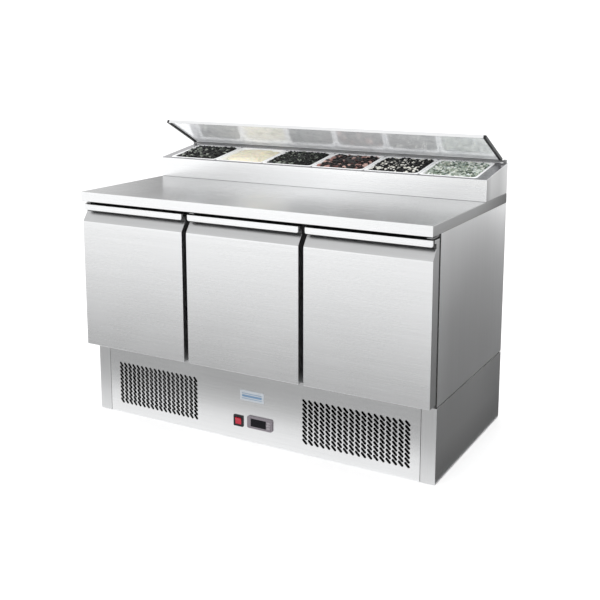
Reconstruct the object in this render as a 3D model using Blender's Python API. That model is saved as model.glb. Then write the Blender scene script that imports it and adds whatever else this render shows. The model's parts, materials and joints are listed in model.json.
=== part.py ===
"""Three-door refrigerated sandwich prep table with a raised pan well and a flip-up lid.

Metres, +Z up. The origin is on the floor under the middle of the cabinet; -Y is the side
where the cook stands and +X is to the cook's right. Every sub-part is its own closed solid.
"""

import math

import bmesh
import bpy

# ---------------------------------------------------------------- driving dimensions
WIDTH = 1.365
DEPTH = 0.720
SHEET = 0.0015  # folded stainless sheet, with its coating and hem
GAP = 0.0003  # clearance kept between solids that touch

WORKTOP_TOP = 0.850
WORKTOP_HEIGHT = 0.035
WORKTOP_HEM = 0.015

FACE_Y = -0.290  # front face of the cabinet body and of the base
BASE_TOP = 0.256
CABINET_BOTTOM = 0.259
CORNER_POST = 0.051
SIDE_RETURN = 0.018

WALL_SIDE = 0.040
WALL_BACK = 0.042
WALL_BOTTOM = 0.040
FRAME_DEPTH = 0.028
FRAME_STILE = 0.036
FRAME_RAIL_TOP = 0.037
FRAME_RAIL_BOTTOM = 0.034
MULLION = 0.062

DOOR_COUNT = 3
DOOR_GAP = 0.019
DOOR_FRONT_Y = -0.353
DOOR_BACK_Y = -0.303
DOOR_BOTTOM = 0.272
DOOR_TOP = 0.803
LIP_Y = -0.347
LIP_THICK = 0.004
LIP_HEIGHT = 0.022
RECESS_Y = -0.328
RECESS_LOW = 0.741  # where the face starts to slope in
RECESS_DEEP = 0.776  # where it is deepest
GRIP_CAP = 0.010  # solid strip along the door's top edge
HINGE_INSET = 0.016
HINGE_Y = -0.330
HINGE_PLATE = 0.003
PIN_RADIUS = 0.004
BORE_RADIUS = 0.0044
GASKET_WIDTH = 0.012

HOPPER_Y = 0.128
HOPPER_FRONT_Z = 0.925
HOPPER_BACK_Z = 0.958
HOPPER_WALL_FRONT = 0.012
HOPPER_WALL_BACK = 0.0125
HOPPER_WALL_SIDE = 0.0295

PAN_COUNT = 6
PAN_PITCH = 0.215
PAN_BODY_WIDTH = 0.198
PAN_BODY_FRONT = 0.0145
PAN_BODY_BACK = 0.2060
PAN_LIP = 0.0075
PAN_DEPTH = 0.100
PAN_DRAFT = 0.007

LID_OPEN_DEG = 35.3  # angle from closed at which the lid stands
LID_LENGTH = 0.2283
LID_WIDTH = 1.336
LID_HINGE_V = 0.2265  # along the sloping rim, from its front edge
LID_HINGE_N = 0.009  # above the rim
LID_OUTER = 0.0061
LID_SKIRT = 0.0059
LID_CAP = 0.0092

SHELF_Z = 0.5265
SHELF_THICK = 0.005
SHELF_FRONT_Y = -0.252
SHELF_BACK_Y = 0.185
SHELF_WIRES = 13

GRILLE_ROWS = 10
GRILLE_COLUMNS = 18
GRILLES = ((-0.587, -0.229), (0.200, 0.597))  # left and right edge of each vent field
GRILLE_LOW = 0.040
GRILLE_HIGH = 0.197
SLOT_RUN = 0.58  # across, as a share of the column pitch, with the slot falling to the right
SLOT_FALL = 0.80  # down, as a share of the row pitch
SLOT_WIDTH = 0.48  # as a share of the row pitch

SWITCH_X, SWITCH_Z = -0.055, 0.071
SWITCH_BEZEL = (0.040, 0.041)
ROCKER = (0.0240, 0.0228)
ROCKER_TILT_DEG = 8.0
CONTROL_X, CONTROL_Z = 0.034, 0.0765
CONTROL_BEZEL = (0.101, 0.044)
KEY_SIZE = (0.0145, 0.0080)
KEY_PITCH = 0.0098
KEY_X = CONTROL_X + 0.0365

UNIT_FLOOR = 0.0023  # the condensing unit stands on the base tray
COMPRESSOR_X, COMPRESSOR_Y = 0.400, 0.090
CONDENSER_X, CONDENSER_Z = -0.400, 0.128
CONDENSER_HALF = 0.115
CONDENSER_TOP = 0.240
INLET_X, INLET_Z = 0.560, 0.060
EVAPORATOR_FAN_X, EVAPORATOR_FAN_Z = 0.0, 0.650
EVAPORATOR_HALF = 0.200
EVAPORATOR_LOW, EVAPORATOR_HIGH = 0.550, 0.750
EVAPORATOR_COVER_Y = 0.186

HALF_WIDTH = WIDTH / 2
BACK_Y = DEPTH / 2
WORKTOP_BOTTOM = WORKTOP_TOP - WORKTOP_HEIGHT
SLOPE = math.atan2(HOPPER_BACK_Z - HOPPER_FRONT_Z, BACK_Y - HOPPER_Y)
RIM_LENGTH = math.hypot(HOPPER_BACK_Z - HOPPER_FRONT_Z, BACK_Y - HOPPER_Y)
DOOR_WIDTH = (WIDTH - (DOOR_COUNT - 1) * DOOR_GAP) / DOOR_COUNT


# ---------------------------------------------------------------- materials
def material(name, colour, roughness, metallic):
    made = bpy.data.materials.new(name)
    made.use_nodes = True
    shader = made.node_tree.nodes["Principled BSDF"]
    shader.inputs["Base Color"].default_value = (*colour, 1.0)
    shader.inputs["Roughness"].default_value = roughness
    shader.inputs["Metallic"].default_value = metallic
    return made


FINISHES = {
    "steel": ((0.74, 0.74, 0.75), 0.30, 1.0),
    "steel_dark": ((0.55, 0.55, 0.57), 0.35, 1.0),
    "zinc": ((0.62, 0.64, 0.66), 0.45, 1.0),
    "foam": ((0.86, 0.80, 0.58), 0.90, 0.0),
    "white_liner": ((0.88, 0.88, 0.87), 0.45, 0.0),
    "rubber": ((0.10, 0.10, 0.11), 0.70, 0.0),
    "black": ((0.03, 0.03, 0.03), 0.45, 0.0),
    "grey_plastic": ((0.62, 0.62, 0.63), 0.50, 0.0),
    "red": ((0.75, 0.05, 0.04), 0.30, 0.0),
    "coil": ((0.80, 0.78, 0.74), 0.40, 1.0),
    "compressor": ((0.05, 0.05, 0.055), 0.35, 0.0),
}


# ---------------------------------------------------------------- mesh tools
def add_box(bm, low, high):
    """A closed box between two opposite corners."""
    corners = [
        bm.verts.new((x, y, z))
        for x in (low[0], high[0])
        for y in (low[1], high[1])
        for z in (low[2], high[2])
    ]
    for ring in ((0, 1, 3, 2), (4, 6, 7, 5), (0, 4, 5, 1), (2, 3, 7, 6), (0, 2, 6, 4), (1, 5, 7, 3)):
        bm.faces.new([corners[i] for i in ring])


def add_prism(bm, outline, axis, start, end):
    """An outline extruded along an axis. It is (y, z) for X, (x, z) for Y and (x, y) for Z."""
    place = {
        "X": lambda a, b, along: (along, a, b),
        "Y": lambda a, b, along: (a, along, b),
        "Z": lambda a, b, along: (a, b, along),
    }[axis]
    near = [bm.verts.new(place(a, b, start)) for a, b in outline]
    far = [bm.verts.new(place(a, b, end)) for a, b in outline]
    bm.faces.new(near)
    bm.faces.new(far)
    for i in range(len(outline)):
        j = (i + 1) % len(outline)
        bm.faces.new((near[i], near[j], far[j], far[i]))


def add_loft(bm, loops):
    """Closed loops of equal length joined in order, with the first and the last one filled."""
    rings = [[bm.verts.new(point) for point in loop] for loop in loops]
    for lower, upper in zip(rings, rings[1:]):
        for i in range(len(lower)):
            j = (i + 1) % len(lower)
            bm.faces.new((lower[i], lower[j], upper[j], upper[i]))
    bm.faces.new(rings[0])
    bm.faces.new(rings[-1])


def circle(radius, steps, centre=(0.0, 0.0)):
    turn = 2 * math.pi / steps
    return [
        (centre[0] + radius * math.cos(i * turn), centre[1] + radius * math.sin(i * turn))
        for i in range(steps)
    ]


def rounded_rectangle(low, high, radius, steps=3):
    """Corner arcs of a rectangle with rounded corners, anticlockwise."""
    centres = (
        (high[0] - radius, high[1] - radius),
        (low[0] + radius, high[1] - radius),
        (low[0] + radius, low[1] + radius),
        (high[0] - radius, low[1] + radius),
    )
    points = []
    for quarter, (x, y) in enumerate(centres):
        for i in range(steps + 1):
            angle = (quarter + i / steps) * math.pi / 2
            points.append((x + radius * math.cos(angle), y + radius * math.sin(angle)))
    return points


def arc(radius, first_deg, last_deg, steps):
    turns = [math.radians(first_deg + (last_deg - first_deg) * i / steps) for i in range(steps + 1)]
    return [(radius * math.cos(a), radius * math.sin(a)) for a in turns]


# ---------------------------------------------------------------- objects
def mesh_object(name, build, origin):
    """An object whose mesh build(bm) draws round the given origin, which becomes its location."""
    bm = bmesh.new()
    build(bm)
    bmesh.ops.recalc_face_normals(bm, faces=bm.faces)
    bmesh.ops.translate(bm, verts=bm.verts, vec=[-c for c in origin])
    mesh = bpy.data.meshes.new(name)
    bm.to_mesh(mesh)
    bm.free()
    made = bpy.data.objects.new(name, mesh)
    made.location = origin
    bpy.context.scene.collection.objects.link(made)
    return made


def piece(name, finish, build, origin=(0.0, 0.0, 0.0), parent=None, smooth=False):
    """A named sub-part in a material of its own. Under a parent, its origin is in the parent's frame."""
    made = mesh_object(name, build, origin)
    made.parent = parent
    colour, roughness, metallic = FINISHES[finish]
    made.data.materials.append(material(name, colour, roughness, metallic))
    if smooth:
        made.data.shade_smooth()
        made.data.set_sharp_from_angle(angle=math.radians(35))
    return made


def combine(target, operation, label, build):
    """Cuts or joins the shape that build(bm) draws, in the frame that the target was drawn in."""
    tool = mesh_object(f"{target.name}_{label}", build, tuple(target.location))
    tool.parent = target.parent
    tool.hide_render = True
    tool.display_type = "WIRE"
    change = target.modifiers.new(label, "BOOLEAN")
    change.operation = operation
    change.solver = "EXACT"
    change.object = tool


def pivot(name, location, angle_deg=0.0, parent=None):
    """An empty on a joint's axis, or on a sloping plane turned about X."""
    made = bpy.data.objects.new(name, None)
    made.location = location
    made.rotation_euler = (math.radians(angle_deg), 0.0, 0.0)
    made.parent = parent
    bpy.context.scene.collection.objects.link(made)
    return made


# ---------------------------------------------------------------- base
def build_base():
    """The skirt that houses the condensing unit: two folded sides, front, back and floor tray."""
    for label, side in (("left", -1), ("right", 1)):
        outer = side * HALF_WIDTH
        fold = [
            (outer, FACE_Y),
            (outer, BACK_Y),
            (outer - side * SHEET, BACK_Y),
            (outer - side * SHEET, FACE_Y + SHEET),
            (outer - side * CORNER_POST, FACE_Y + SHEET),
            (outer - side * CORNER_POST, FACE_Y),
        ]
        piece(
            f"base_side_{label}",
            "steel",
            lambda bm, fold=fold: add_prism(bm, fold, "Z", 0.0, BASE_TOP),
        )

    half = HALF_WIDTH - CORNER_POST - 0.0015
    front = piece(
        "base_front_panel",
        "steel",
        lambda bm: add_box(bm, (-half, FACE_Y, 0.0), (half, FACE_Y + SHEET, BASE_TOP)),
        origin=(0.0, FACE_Y, 0.0),
    )
    combine(front, "DIFFERENCE", "vents", front_vents)

    back = piece(
        "base_back_panel",
        "zinc",
        lambda bm: add_box(
            bm, (-HALF_WIDTH + 0.002, 0.3505, 0.003), (HALF_WIDTH - 0.002, 0.352, BASE_TOP)
        ),
    )
    combine(back, "DIFFERENCE", "louvres", back_louvres)

    tray_low = (-HALF_WIDTH + 0.002, -0.2865, 0.0)
    tray_high = (HALF_WIDTH - 0.002, 0.3500, 0.022)
    tray = piece("base_tray", "zinc", lambda bm: add_box(bm, tray_low, tray_high))
    wall = 0.002
    combine(
        tray,
        "DIFFERENCE",
        "hollow",
        lambda bm: add_box(
            bm,
            (tray_low[0] + wall, tray_low[1] + wall, wall),
            (tray_high[0] - wall, tray_high[1] - wall, 0.030),
        ),
    )

    centre = (INLET_X, INLET_Z)
    inlet = piece(
        "power_inlet",
        "black",
        lambda bm: add_prism(bm, circle(0.0100, 16, centre), "Y", 0.3523, 0.3565),
        smooth=True,
    )
    combine(
        inlet,
        "UNION",
        "nut",
        lambda bm: add_prism(bm, circle(0.0075, 6, centre), "Y", 0.3560, 0.3595),
    )


def front_vents(bm):
    """Slanted punched slots in two fields, and the cut-outs for the switch and the controller."""
    overshoot = 0.004
    pitch_z = (GRILLE_HIGH - GRILLE_LOW) / GRILLE_ROWS
    half_width = SLOT_WIDTH * pitch_z / 2
    for left, right in GRILLES:
        pitch_x = (right - left) / GRILLE_COLUMNS
        half_run, half_fall = SLOT_RUN * pitch_x / 2, SLOT_FALL * pitch_z / 2
        length = math.hypot(half_run, half_fall)
        side_x, side_z = half_width * half_fall / length, half_width * half_run / length
        for column in range(GRILLE_COLUMNS):
            x = left + (column + 0.5) * pitch_x
            for row in range(GRILLE_ROWS):
                z = GRILLE_LOW + (row + 0.5) * pitch_z
                outline = [
                    (x + half_run - side_x, z - half_fall - side_z),
                    (x + half_run + side_x, z - half_fall + side_z),
                    (x - half_run + side_x, z + half_fall + side_z),
                    (x - half_run - side_x, z + half_fall - side_z),
                ]
                add_prism(bm, outline, "Y", FACE_Y - overshoot, FACE_Y + overshoot)
    for x, z, width, height in (
        (SWITCH_X, SWITCH_Z, 0.031, 0.032),
        (CONTROL_X, CONTROL_Z, 0.072, 0.030),
    ):
        add_box(
            bm,
            (x - width / 2, FACE_Y - overshoot, z - height / 2),
            (x + width / 2, FACE_Y + overshoot, z + height / 2),
        )


def back_louvres(bm):
    for x in (-0.42, -0.14, 0.14, 0.42):
        for row in range(4):
            z = 0.100 + row * 0.030
            add_box(bm, (x - 0.100, 0.345, z), (x + 0.100, 0.357, z + 0.008))


# ---------------------------------------------------------------- condensing unit
def comb_outline(left, right, front, back, fins):
    """A finned block seen from above: square teeth along its front face."""
    pitch = (right - left) / (2 * fins - 1)
    points = [(right, back), (left, back)]
    for i in range(fins):
        x = left + 2 * i * pitch
        points += [(x, front), (x + pitch, front)]
        if i < fins - 1:
            points += [(x + pitch, front + 0.012), (x + 2 * pitch, front + 0.012)]
    return points


def fan(name, centre, start_y, hub_radius, hub_length, tip_radius, blades, finish):
    """A propeller on a Y axle, with pitched blades joined to its hub. Its centre is (x, z)."""
    origin = (centre[0], start_y, centre[1])
    hub = piece(
        name,
        finish,
        lambda bm: add_prism(
            bm, circle(hub_radius, 16, centre), "Y", start_y, start_y + hub_length
        ),
        origin=origin,
        smooth=True,
    )

    def add_blades(bm):
        for i in range(blades):
            turn = 2 * math.pi * i / blades
            out = (math.cos(turn), math.sin(turn))
            across = (-out[1], out[0])
            root = blade_section(out, across, 0.7 * hub_radius, 0.30 * tip_radius, tip_radius)
            tip = blade_section(out, across, tip_radius, 0.42 * tip_radius, tip_radius)
            add_loft(
                bm,
                [
                    [(centre[0] + x, start_y + depth * hub_length, centre[1] + z) for x, depth, z in loop]
                    for loop in (root, tip)
                ],
            )

    combine(hub, "UNION", "blades", add_blades)


def blade_section(out, across, radius, chord, reach):
    """Four corners of a pitched blade's section, as (x, share of the hub's length, z)."""
    loop = []
    for along, depth in ((-1, 0.15), (1, 0.72), (1, 0.90), (-1, 0.33)):
        x = out[0] * radius + across[0] * along * chord
        z = out[1] * radius + across[1] * along * chord
        shrink = min(1.0, reach / math.hypot(x, z))
        loop.append((x * shrink, depth, z * shrink))
    return loop


def build_condensing_unit():
    """Compressor, and a finned condenser whose fan and motor stand in its shroud."""
    build_compressor()
    centre = (CONDENSER_X, CONDENSER_Z)
    left, right = CONDENSER_X - CONDENSER_HALF, CONDENSER_X + CONDENSER_HALF
    fins = comb_outline(left, right, -0.255, -0.200, 16)
    condenser = piece(
        "condenser_coil",
        "coil",
        lambda bm: add_prism(bm, fins, "Z", UNIT_FLOOR, CONDENSER_TOP),
        origin=(CONDENSER_X, -0.200, UNIT_FLOOR),
    )
    combine(
        condenser,
        "UNION",
        "shroud",
        lambda bm: add_box(
            bm,
            (left - 0.003, -0.205, UNIT_FLOOR),
            (right + 0.003, -0.145, CONDENSER_TOP + 0.006),
        ),
    )
    combine(
        condenser,
        "DIFFERENCE",
        "duct",
        lambda bm: add_prism(bm, circle(0.098, 24, centre), "Y", -0.195, -0.140),
    )
    fan("condenser_fan", centre, -0.180, 0.022, 0.024, 0.092, 4, "grey_plastic")

    motor = piece(
        "condenser_fan_motor",
        "steel_dark",
        lambda bm: add_prism(bm, circle(0.030, 16, centre), "Y", -0.152, -0.092),
        smooth=True,
    )
    combine(
        motor,
        "UNION",
        "bracket",
        lambda bm: add_box(
            bm,
            (CONDENSER_X - 0.020, -0.130, UNIT_FLOOR),
            (CONDENSER_X + 0.020, -0.124, CONDENSER_Z),
        ),
    )


def build_compressor():
    """A drawn steel pot on a flat foot: straight wall, rolled seam and domed top."""
    wall, seam, crown, dome = 0.076, 0.080, 0.130, 0.045
    profile = [(0.072, 0.0), (wall, 0.010), (wall, 0.070), (seam, 0.074), (seam, 0.080)]
    profile += [(wall, 0.084), (wall, crown)]
    profile += [(wall * math.cos(a), crown + dome * math.sin(a)) for a in (0.4, 0.8, 1.2)]
    rings = [
        [(x, y, UNIT_FLOOR + z) for x, y in circle(radius, 20, (COMPRESSOR_X, COMPRESSOR_Y))]
        for radius, z in profile
    ]
    pot = piece(
        "compressor",
        "compressor",
        lambda bm: add_loft(bm, rings),
        origin=(COMPRESSOR_X, COMPRESSOR_Y, UNIT_FLOOR),
        smooth=True,
    )
    foot = 0.100
    combine(
        pot,
        "UNION",
        "foot",
        lambda bm: add_box(
            bm,
            (COMPRESSOR_X - foot, COMPRESSOR_Y - foot, UNIT_FLOOR),
            (COMPRESSOR_X + foot, COMPRESSOR_Y + foot, UNIT_FLOOR + 0.006),
        ),
    )


# ---------------------------------------------------------------- cabinet body
def door_span(index):
    """Left and right edge of a door, counted from 0 at the left."""
    left = -HALF_WIDTH + index * (DOOR_WIDTH + DOOR_GAP)
    return left, left + DOOR_WIDTH


def bay_spans():
    """Left and right edge of each opening in the door frame."""
    half = HALF_WIDTH - SIDE_RETURN - FRAME_STILE
    centre = HALF_WIDTH - DOOR_WIDTH - DOOR_GAP / 2
    edges = (-half, -centre - MULLION / 2, -centre + MULLION / 2)
    return (
        (edges[0], edges[1]),
        (edges[2], -edges[2]),
        (-edges[1], -edges[0]),
    )


def build_cabinet():
    top = WORKTOP_BOTTOM - GAP
    for label, side in (("left", -1), ("right", 1)):
        outer = side * HALF_WIDTH
        fold = [
            (outer, FACE_Y),
            (outer, BACK_Y),
            (outer - side * SHEET, BACK_Y),
            (outer - side * SHEET, FACE_Y + SHEET),
            (outer - side * SIDE_RETURN, FACE_Y + SHEET),
            (outer - side * SIDE_RETURN, FACE_Y),
        ]
        piece(
            f"side_panel_{label}",
            "steel",
            lambda bm, fold=fold: add_prism(bm, fold, "Z", CABINET_BOTTOM, top),
        )
    piece(
        "back_panel",
        "zinc",
        lambda bm: add_box(
            bm, (-HALF_WIDTH + 0.002, 0.3505, CABINET_BOTTOM), (HALF_WIDTH - 0.002, 0.352, top)
        ),
    )

    foam_low = (-HALF_WIDTH + 0.002, FACE_Y + FRAME_DEPTH + GAP, CABINET_BOTTOM + 0.0025)
    foam_high = (HALF_WIDTH - 0.002, 0.3500, top)
    inner_x = foam_high[0] - WALL_SIDE
    inner_back = foam_high[1] - WALL_BACK
    inner_floor = foam_low[2] + WALL_BOTTOM
    foam = piece("cabinet_insulation", "foam", lambda bm: add_box(bm, foam_low, foam_high))
    combine(
        foam,
        "DIFFERENCE",
        "interior",
        lambda bm: add_box(
            bm, (-inner_x, foam_low[1] - 0.01, inner_floor), (inner_x, inner_back, top + 0.01)
        ),
    )

    liner = piece(
        "cabinet_liner",
        "white_liner",
        lambda bm: add_box(
            bm,
            (-inner_x + GAP, foam_low[1], inner_floor + GAP),
            (inner_x - GAP, inner_back - GAP, top),
        ),
    )
    combine(
        liner,
        "DIFFERENCE",
        "interior",
        lambda bm: add_box(
            bm,
            (-inner_x + GAP + SHEET, foam_low[1] - 0.01, inner_floor + GAP + SHEET),
            (inner_x - GAP - SHEET, inner_back - GAP - SHEET, top + 0.01),
        ),
    )

    half = HALF_WIDTH - SIDE_RETURN - GAP
    frame = piece(
        "door_frame",
        "steel_dark",
        lambda bm: add_box(
            bm,
            (-half, FACE_Y, CABINET_BOTTOM + 0.003),
            (half, FACE_Y + FRAME_DEPTH, top),
        ),
    )

    def bays(bm):
        for left, right in bay_spans():
            add_box(
                bm,
                (left, FACE_Y - 0.01, CABINET_BOTTOM + 0.003 + FRAME_RAIL_BOTTOM),
                (right, FACE_Y + FRAME_DEPTH + 0.01, top - FRAME_RAIL_TOP),
            )

    combine(frame, "DIFFERENCE", "bays", bays)
    build_shelves(inner_x - GAP - SHEET)
    build_evaporator()


def build_shelves(inner_x):
    """Two rails across the cabinet carry a wire shelf in each bay."""
    rail = 0.010
    reach = inner_x - GAP
    for label, y in (("front", -0.250), ("back", 0.170)):
        piece(
            f"shelf_rail_{label}",
            "steel_dark",
            lambda bm, y=y: add_box(
                bm, (-reach, y, SHELF_Z - GAP - rail), (reach, y + rail, SHELF_Z - GAP)
            ),
        )
    third = HALF_WIDTH - DOOR_WIDTH - DOOR_GAP / 2
    spans = ((-reach, -third - 0.003), (-third + 0.003, third - 0.003), (third + 0.003, reach))
    rim, wire = 0.008, 0.006
    for number, (left, right) in enumerate(spans, 1):
        shelf = piece(
            f"shelf_{number}",
            "white_liner",
            lambda bm, left=left, right=right: add_box(
                bm, (left, SHELF_FRONT_Y, SHELF_Z), (right, SHELF_BACK_Y, SHELF_Z + SHELF_THICK)
            ),
            origin=(left, SHELF_FRONT_Y, SHELF_Z),
        )

        def gaps(bm, left=left, right=right):
            pitch = (right - left - 2 * rim + wire) / SHELF_WIRES
            for i in range(SHELF_WIRES):
                x = left + rim + i * pitch
                add_box(
                    bm,
                    (x, SHELF_FRONT_Y + rim, SHELF_Z - 0.002),
                    (x + pitch - wire, SHELF_BACK_Y - rim, SHELF_Z + SHELF_THICK + 0.002),
                )

        combine(shelf, "DIFFERENCE", "gaps", gaps)


def build_evaporator():
    """Finned coil on the back wall of the middle bay, behind a sheet cover with a fan."""
    low, high, reach, front = EVAPORATOR_LOW, EVAPORATOR_HIGH, EVAPORATOR_HALF, EVAPORATOR_COVER_Y
    centre = (EVAPORATOR_FAN_X, EVAPORATOR_FAN_Z)
    fins = comb_outline(-reach + 0.015, reach - 0.015, 0.232, 0.300, 22)
    piece(
        "evaporator_coil",
        "coil",
        lambda bm: add_prism(bm, fins, "Z", low + 0.006, high - 0.006),
        origin=(0.0, 0.300, low),
    )
    cover = piece(
        "evaporator_cover",
        "white_liner",
        lambda bm: add_box(bm, (-reach, front, low), (reach, front + 0.002, high)),
    )

    def flanges(bm):
        for z in (low, high - 0.002):
            add_box(bm, (-reach, front + 0.001, z), (reach, 0.225, z + 0.002))

    combine(cover, "UNION", "flanges", flanges)
    combine(
        cover,
        "DIFFERENCE",
        "mouth",
        lambda bm: add_prism(bm, circle(0.062, 24, centre), "Y", front - 0.006, front + 0.009),
    )
    combine(
        cover,
        "UNION",
        "motor_bar",
        lambda bm: add_box(bm, (-0.008, 0.206, low + 0.001), (0.008, 0.210, high - 0.001)),
    )
    combine(
        cover,
        "UNION",
        "motor",
        lambda bm: add_prism(bm, circle(0.018, 16, centre), "Y", 0.2035, 0.2230),
    )
    fan("evaporator_fan", centre, front + 0.004, 0.014, 0.012, 0.056, 5, "black")


# ---------------------------------------------------------------- worktop and pan well
WELL_X = HALF_WIDTH - HOPPER_WALL_SIDE + 0.002
WELL_FRONT = HOPPER_Y + HOPPER_WALL_FRONT + 0.002
WELL_BACK = BACK_Y - HOPPER_WALL_BACK - 0.0015


def build_worktop():
    """A folded tray turned upside down, with hemmed edges, a foam board inside and a well."""
    top = piece(
        "worktop",
        "steel",
        lambda bm: add_box(
            bm, (-HALF_WIDTH, -BACK_Y, WORKTOP_BOTTOM), (HALF_WIDTH, BACK_Y, WORKTOP_TOP)
        ),
    )
    inner_x, inner_y = HALF_WIDTH - SHEET, BACK_Y - SHEET
    combine(
        top,
        "DIFFERENCE",
        "hollow",
        lambda bm: add_box(
            bm,
            (-inner_x, -inner_y, WORKTOP_BOTTOM + SHEET),
            (inner_x, inner_y, WORKTOP_TOP - SHEET),
        ),
    )
    combine(
        top,
        "DIFFERENCE",
        "underside",
        lambda bm: add_box(
            bm,
            (-inner_x + WORKTOP_HEM, -inner_y + WORKTOP_HEM, WORKTOP_BOTTOM - 0.01),
            (inner_x - WORKTOP_HEM, inner_y - WORKTOP_HEM, WORKTOP_BOTTOM + 0.01),
        ),
    )
    combine(top, "DIFFERENCE", "well", lambda bm: cut_well(bm, 0.0))

    board = piece(
        "worktop_core",
        "foam",
        lambda bm: add_box(
            bm,
            (-inner_x + GAP, -inner_y + GAP, WORKTOP_BOTTOM + SHEET + GAP),
            (inner_x - GAP, inner_y - GAP, WORKTOP_TOP - SHEET - GAP),
        ),
    )
    combine(board, "DIFFERENCE", "well", lambda bm: cut_well(bm, 0.001))


def cut_well(bm, spare):
    add_box(
        bm,
        (-WELL_X - spare, WELL_FRONT - spare, WORKTOP_BOTTOM - 0.02),
        (WELL_X + spare, WELL_BACK + spare, WORKTOP_TOP + 0.02),
    )


def build_hopper(rim):
    """Insulated walls round the pans. Their top slopes down towards the cook."""
    foot = WORKTOP_TOP + GAP
    outline = [
        (HOPPER_Y, foot),
        (BACK_Y, foot),
        (BACK_Y, HOPPER_BACK_Z),
        (HOPPER_Y, HOPPER_FRONT_Z),
    ]
    casing = piece(
        "hopper_casing",
        "steel",
        lambda bm: add_prism(bm, outline, "X", -HALF_WIDTH, HALF_WIDTH),
        origin=(0.0, HOPPER_Y, foot),
    )
    inner_x = HALF_WIDTH - HOPPER_WALL_SIDE
    combine(
        casing,
        "DIFFERENCE",
        "well",
        lambda bm: add_box(
            bm,
            (-inner_x, HOPPER_Y + HOPPER_WALL_FRONT, foot - 0.02),
            (inner_x, BACK_Y - HOPPER_WALL_BACK, HOPPER_BACK_Z + 0.02),
        ),
    )

    frame_top = GAP + SHEET
    frame = piece(
        "pan_frame",
        "steel",
        lambda bm: add_box(
            bm,
            (-HALF_WIDTH + 0.0005, 0.0005, GAP),
            (HALF_WIDTH - 0.0005, RIM_LENGTH - 0.0005, frame_top),
        ),
        parent=rim,
    )

    def pan_seats(bm):
        spare = 0.0025
        for x in pan_centres():
            add_box(
                bm,
                (x - PAN_BODY_WIDTH / 2 - spare, PAN_BODY_FRONT - spare, GAP - 0.005),
                (x + PAN_BODY_WIDTH / 2 + spare, PAN_BODY_BACK + spare, frame_top + 0.005),
            )

    combine(frame, "DIFFERENCE", "seats", pan_seats)
    for number, x in enumerate(pan_centres(), 1):
        build_pan(f"pan_{number}", x, frame_top + GAP, rim)


def pan_centres():
    first = -(PAN_COUNT - 1) / 2 * PAN_PITCH
    return [first + i * PAN_PITCH for i in range(PAN_COUNT)]


def build_pan(name, centre_x, seat, rim):
    """A drawn pan that hangs by its flange, square to the sloping rim."""
    middle = (PAN_BODY_FRONT + PAN_BODY_BACK) / 2
    half_x = PAN_BODY_WIDTH / 2
    half_v = (PAN_BODY_BACK - PAN_BODY_FRONT) / 2

    def loop(grow, height, radius):
        points = rounded_rectangle(
            (-half_x - grow, -half_v - grow), (half_x + grow, half_v + grow), radius
        )
        return [(x, v, height) for x, v in points]

    def tray(bm):
        flange_low, flange_top = 0.0, SHEET
        bottom = -PAN_DEPTH
        add_loft(
            bm,
            [
                loop(-PAN_DRAFT, bottom, 0.020),
                loop(0.0, flange_low, 0.014),
                loop(PAN_LIP, flange_low, 0.010),
                loop(PAN_LIP, flange_top, 0.010),
                loop(-SHEET, flange_top, 0.013),
                loop(-SHEET - PAN_DRAFT, bottom + SHEET, 0.019),
            ],
        )

    made = piece(name, "steel", tray, parent=rim, smooth=True)
    made.location = (centre_x, middle, seat)


# ---------------------------------------------------------------- lid
def build_lid(rim):
    """A shallow folded lid that curls round a fixed rod along the back of the rim."""
    hinge = pivot("lid_hinge", (0.0, LID_HINGE_V, LID_HINGE_N), -LID_OPEN_DEG, rim)
    inner = LID_OUTER - SHEET
    rod_radius = inner - 0.0004
    shell_half = LID_WIDTH / 2 - LID_CAP

    front = -LID_LENGTH
    profile = [(front + SHEET, -LID_SKIRT), (front, -LID_SKIRT), (front, LID_OUTER)]
    profile += arc(LID_OUTER, 90, -120, 14)
    profile += arc(inner, -120, 90, 14)
    profile += [(front + SHEET, inner)]
    piece(
        "lid_shell",
        "steel",
        lambda bm: add_prism(bm, profile, "X", -shell_half, shell_half),
        parent=hinge,
        smooth=True,
    )

    low, high = 0.0008, inner - GAP
    near, far = -0.0090, front + SHEET + GAP
    tray = [
        (near, high),
        (near, low),
        (far, low),
        (far, high),
        (far + 0.0012, high),
        (far + 0.0012, low + 0.0012),
        (near - 0.0012, low + 0.0012),
        (near - 0.0012, high),
    ]
    piece(
        "lid_liner",
        "steel",
        lambda bm: add_prism(bm, tray, "X", -shell_half + GAP, shell_half - GAP),
        parent=hinge,
    )
    for label, side in (("left", -1), ("right", 1)):
        start = side * (shell_half + GAP)
        outline = [(-0.012, LID_OUTER), (-0.012, -0.0005), (-0.018, -LID_SKIRT), (front, -LID_SKIRT)]
        outline += [(front, LID_OUTER)]
        piece(
            f"lid_end_cap_{label}",
            "black",
            lambda bm, start=start, side=side, outline=outline: add_prism(
                bm, outline, "X", start, start + side * LID_CAP
            ),
            parent=hinge,
        )

    rod = piece(
        "lid_hinge_rod",
        "steel_dark",
        lambda bm: add_prism(
            bm,
            circle(rod_radius, 20, (LID_HINGE_V, LID_HINGE_N)),
            "X",
            -HALF_WIDTH + 0.0020,
            HALF_WIDTH - 0.0020,
        ),
        parent=rim,
        smooth=True,
    )

    def ears(bm):
        for side in (-1, 1):
            inside, outside = side * (LID_WIDTH / 2 + 0.002), side * (HALF_WIDTH - 0.0015)
            add_box(
                bm,
                (min(inside, outside), LID_HINGE_V - 0.0048, 2 * GAP + SHEET),
                (max(inside, outside), LID_HINGE_V + 0.0048, LID_HINGE_N + 0.0048),
            )

    combine(rod, "UNION", "ears", ears)


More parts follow.
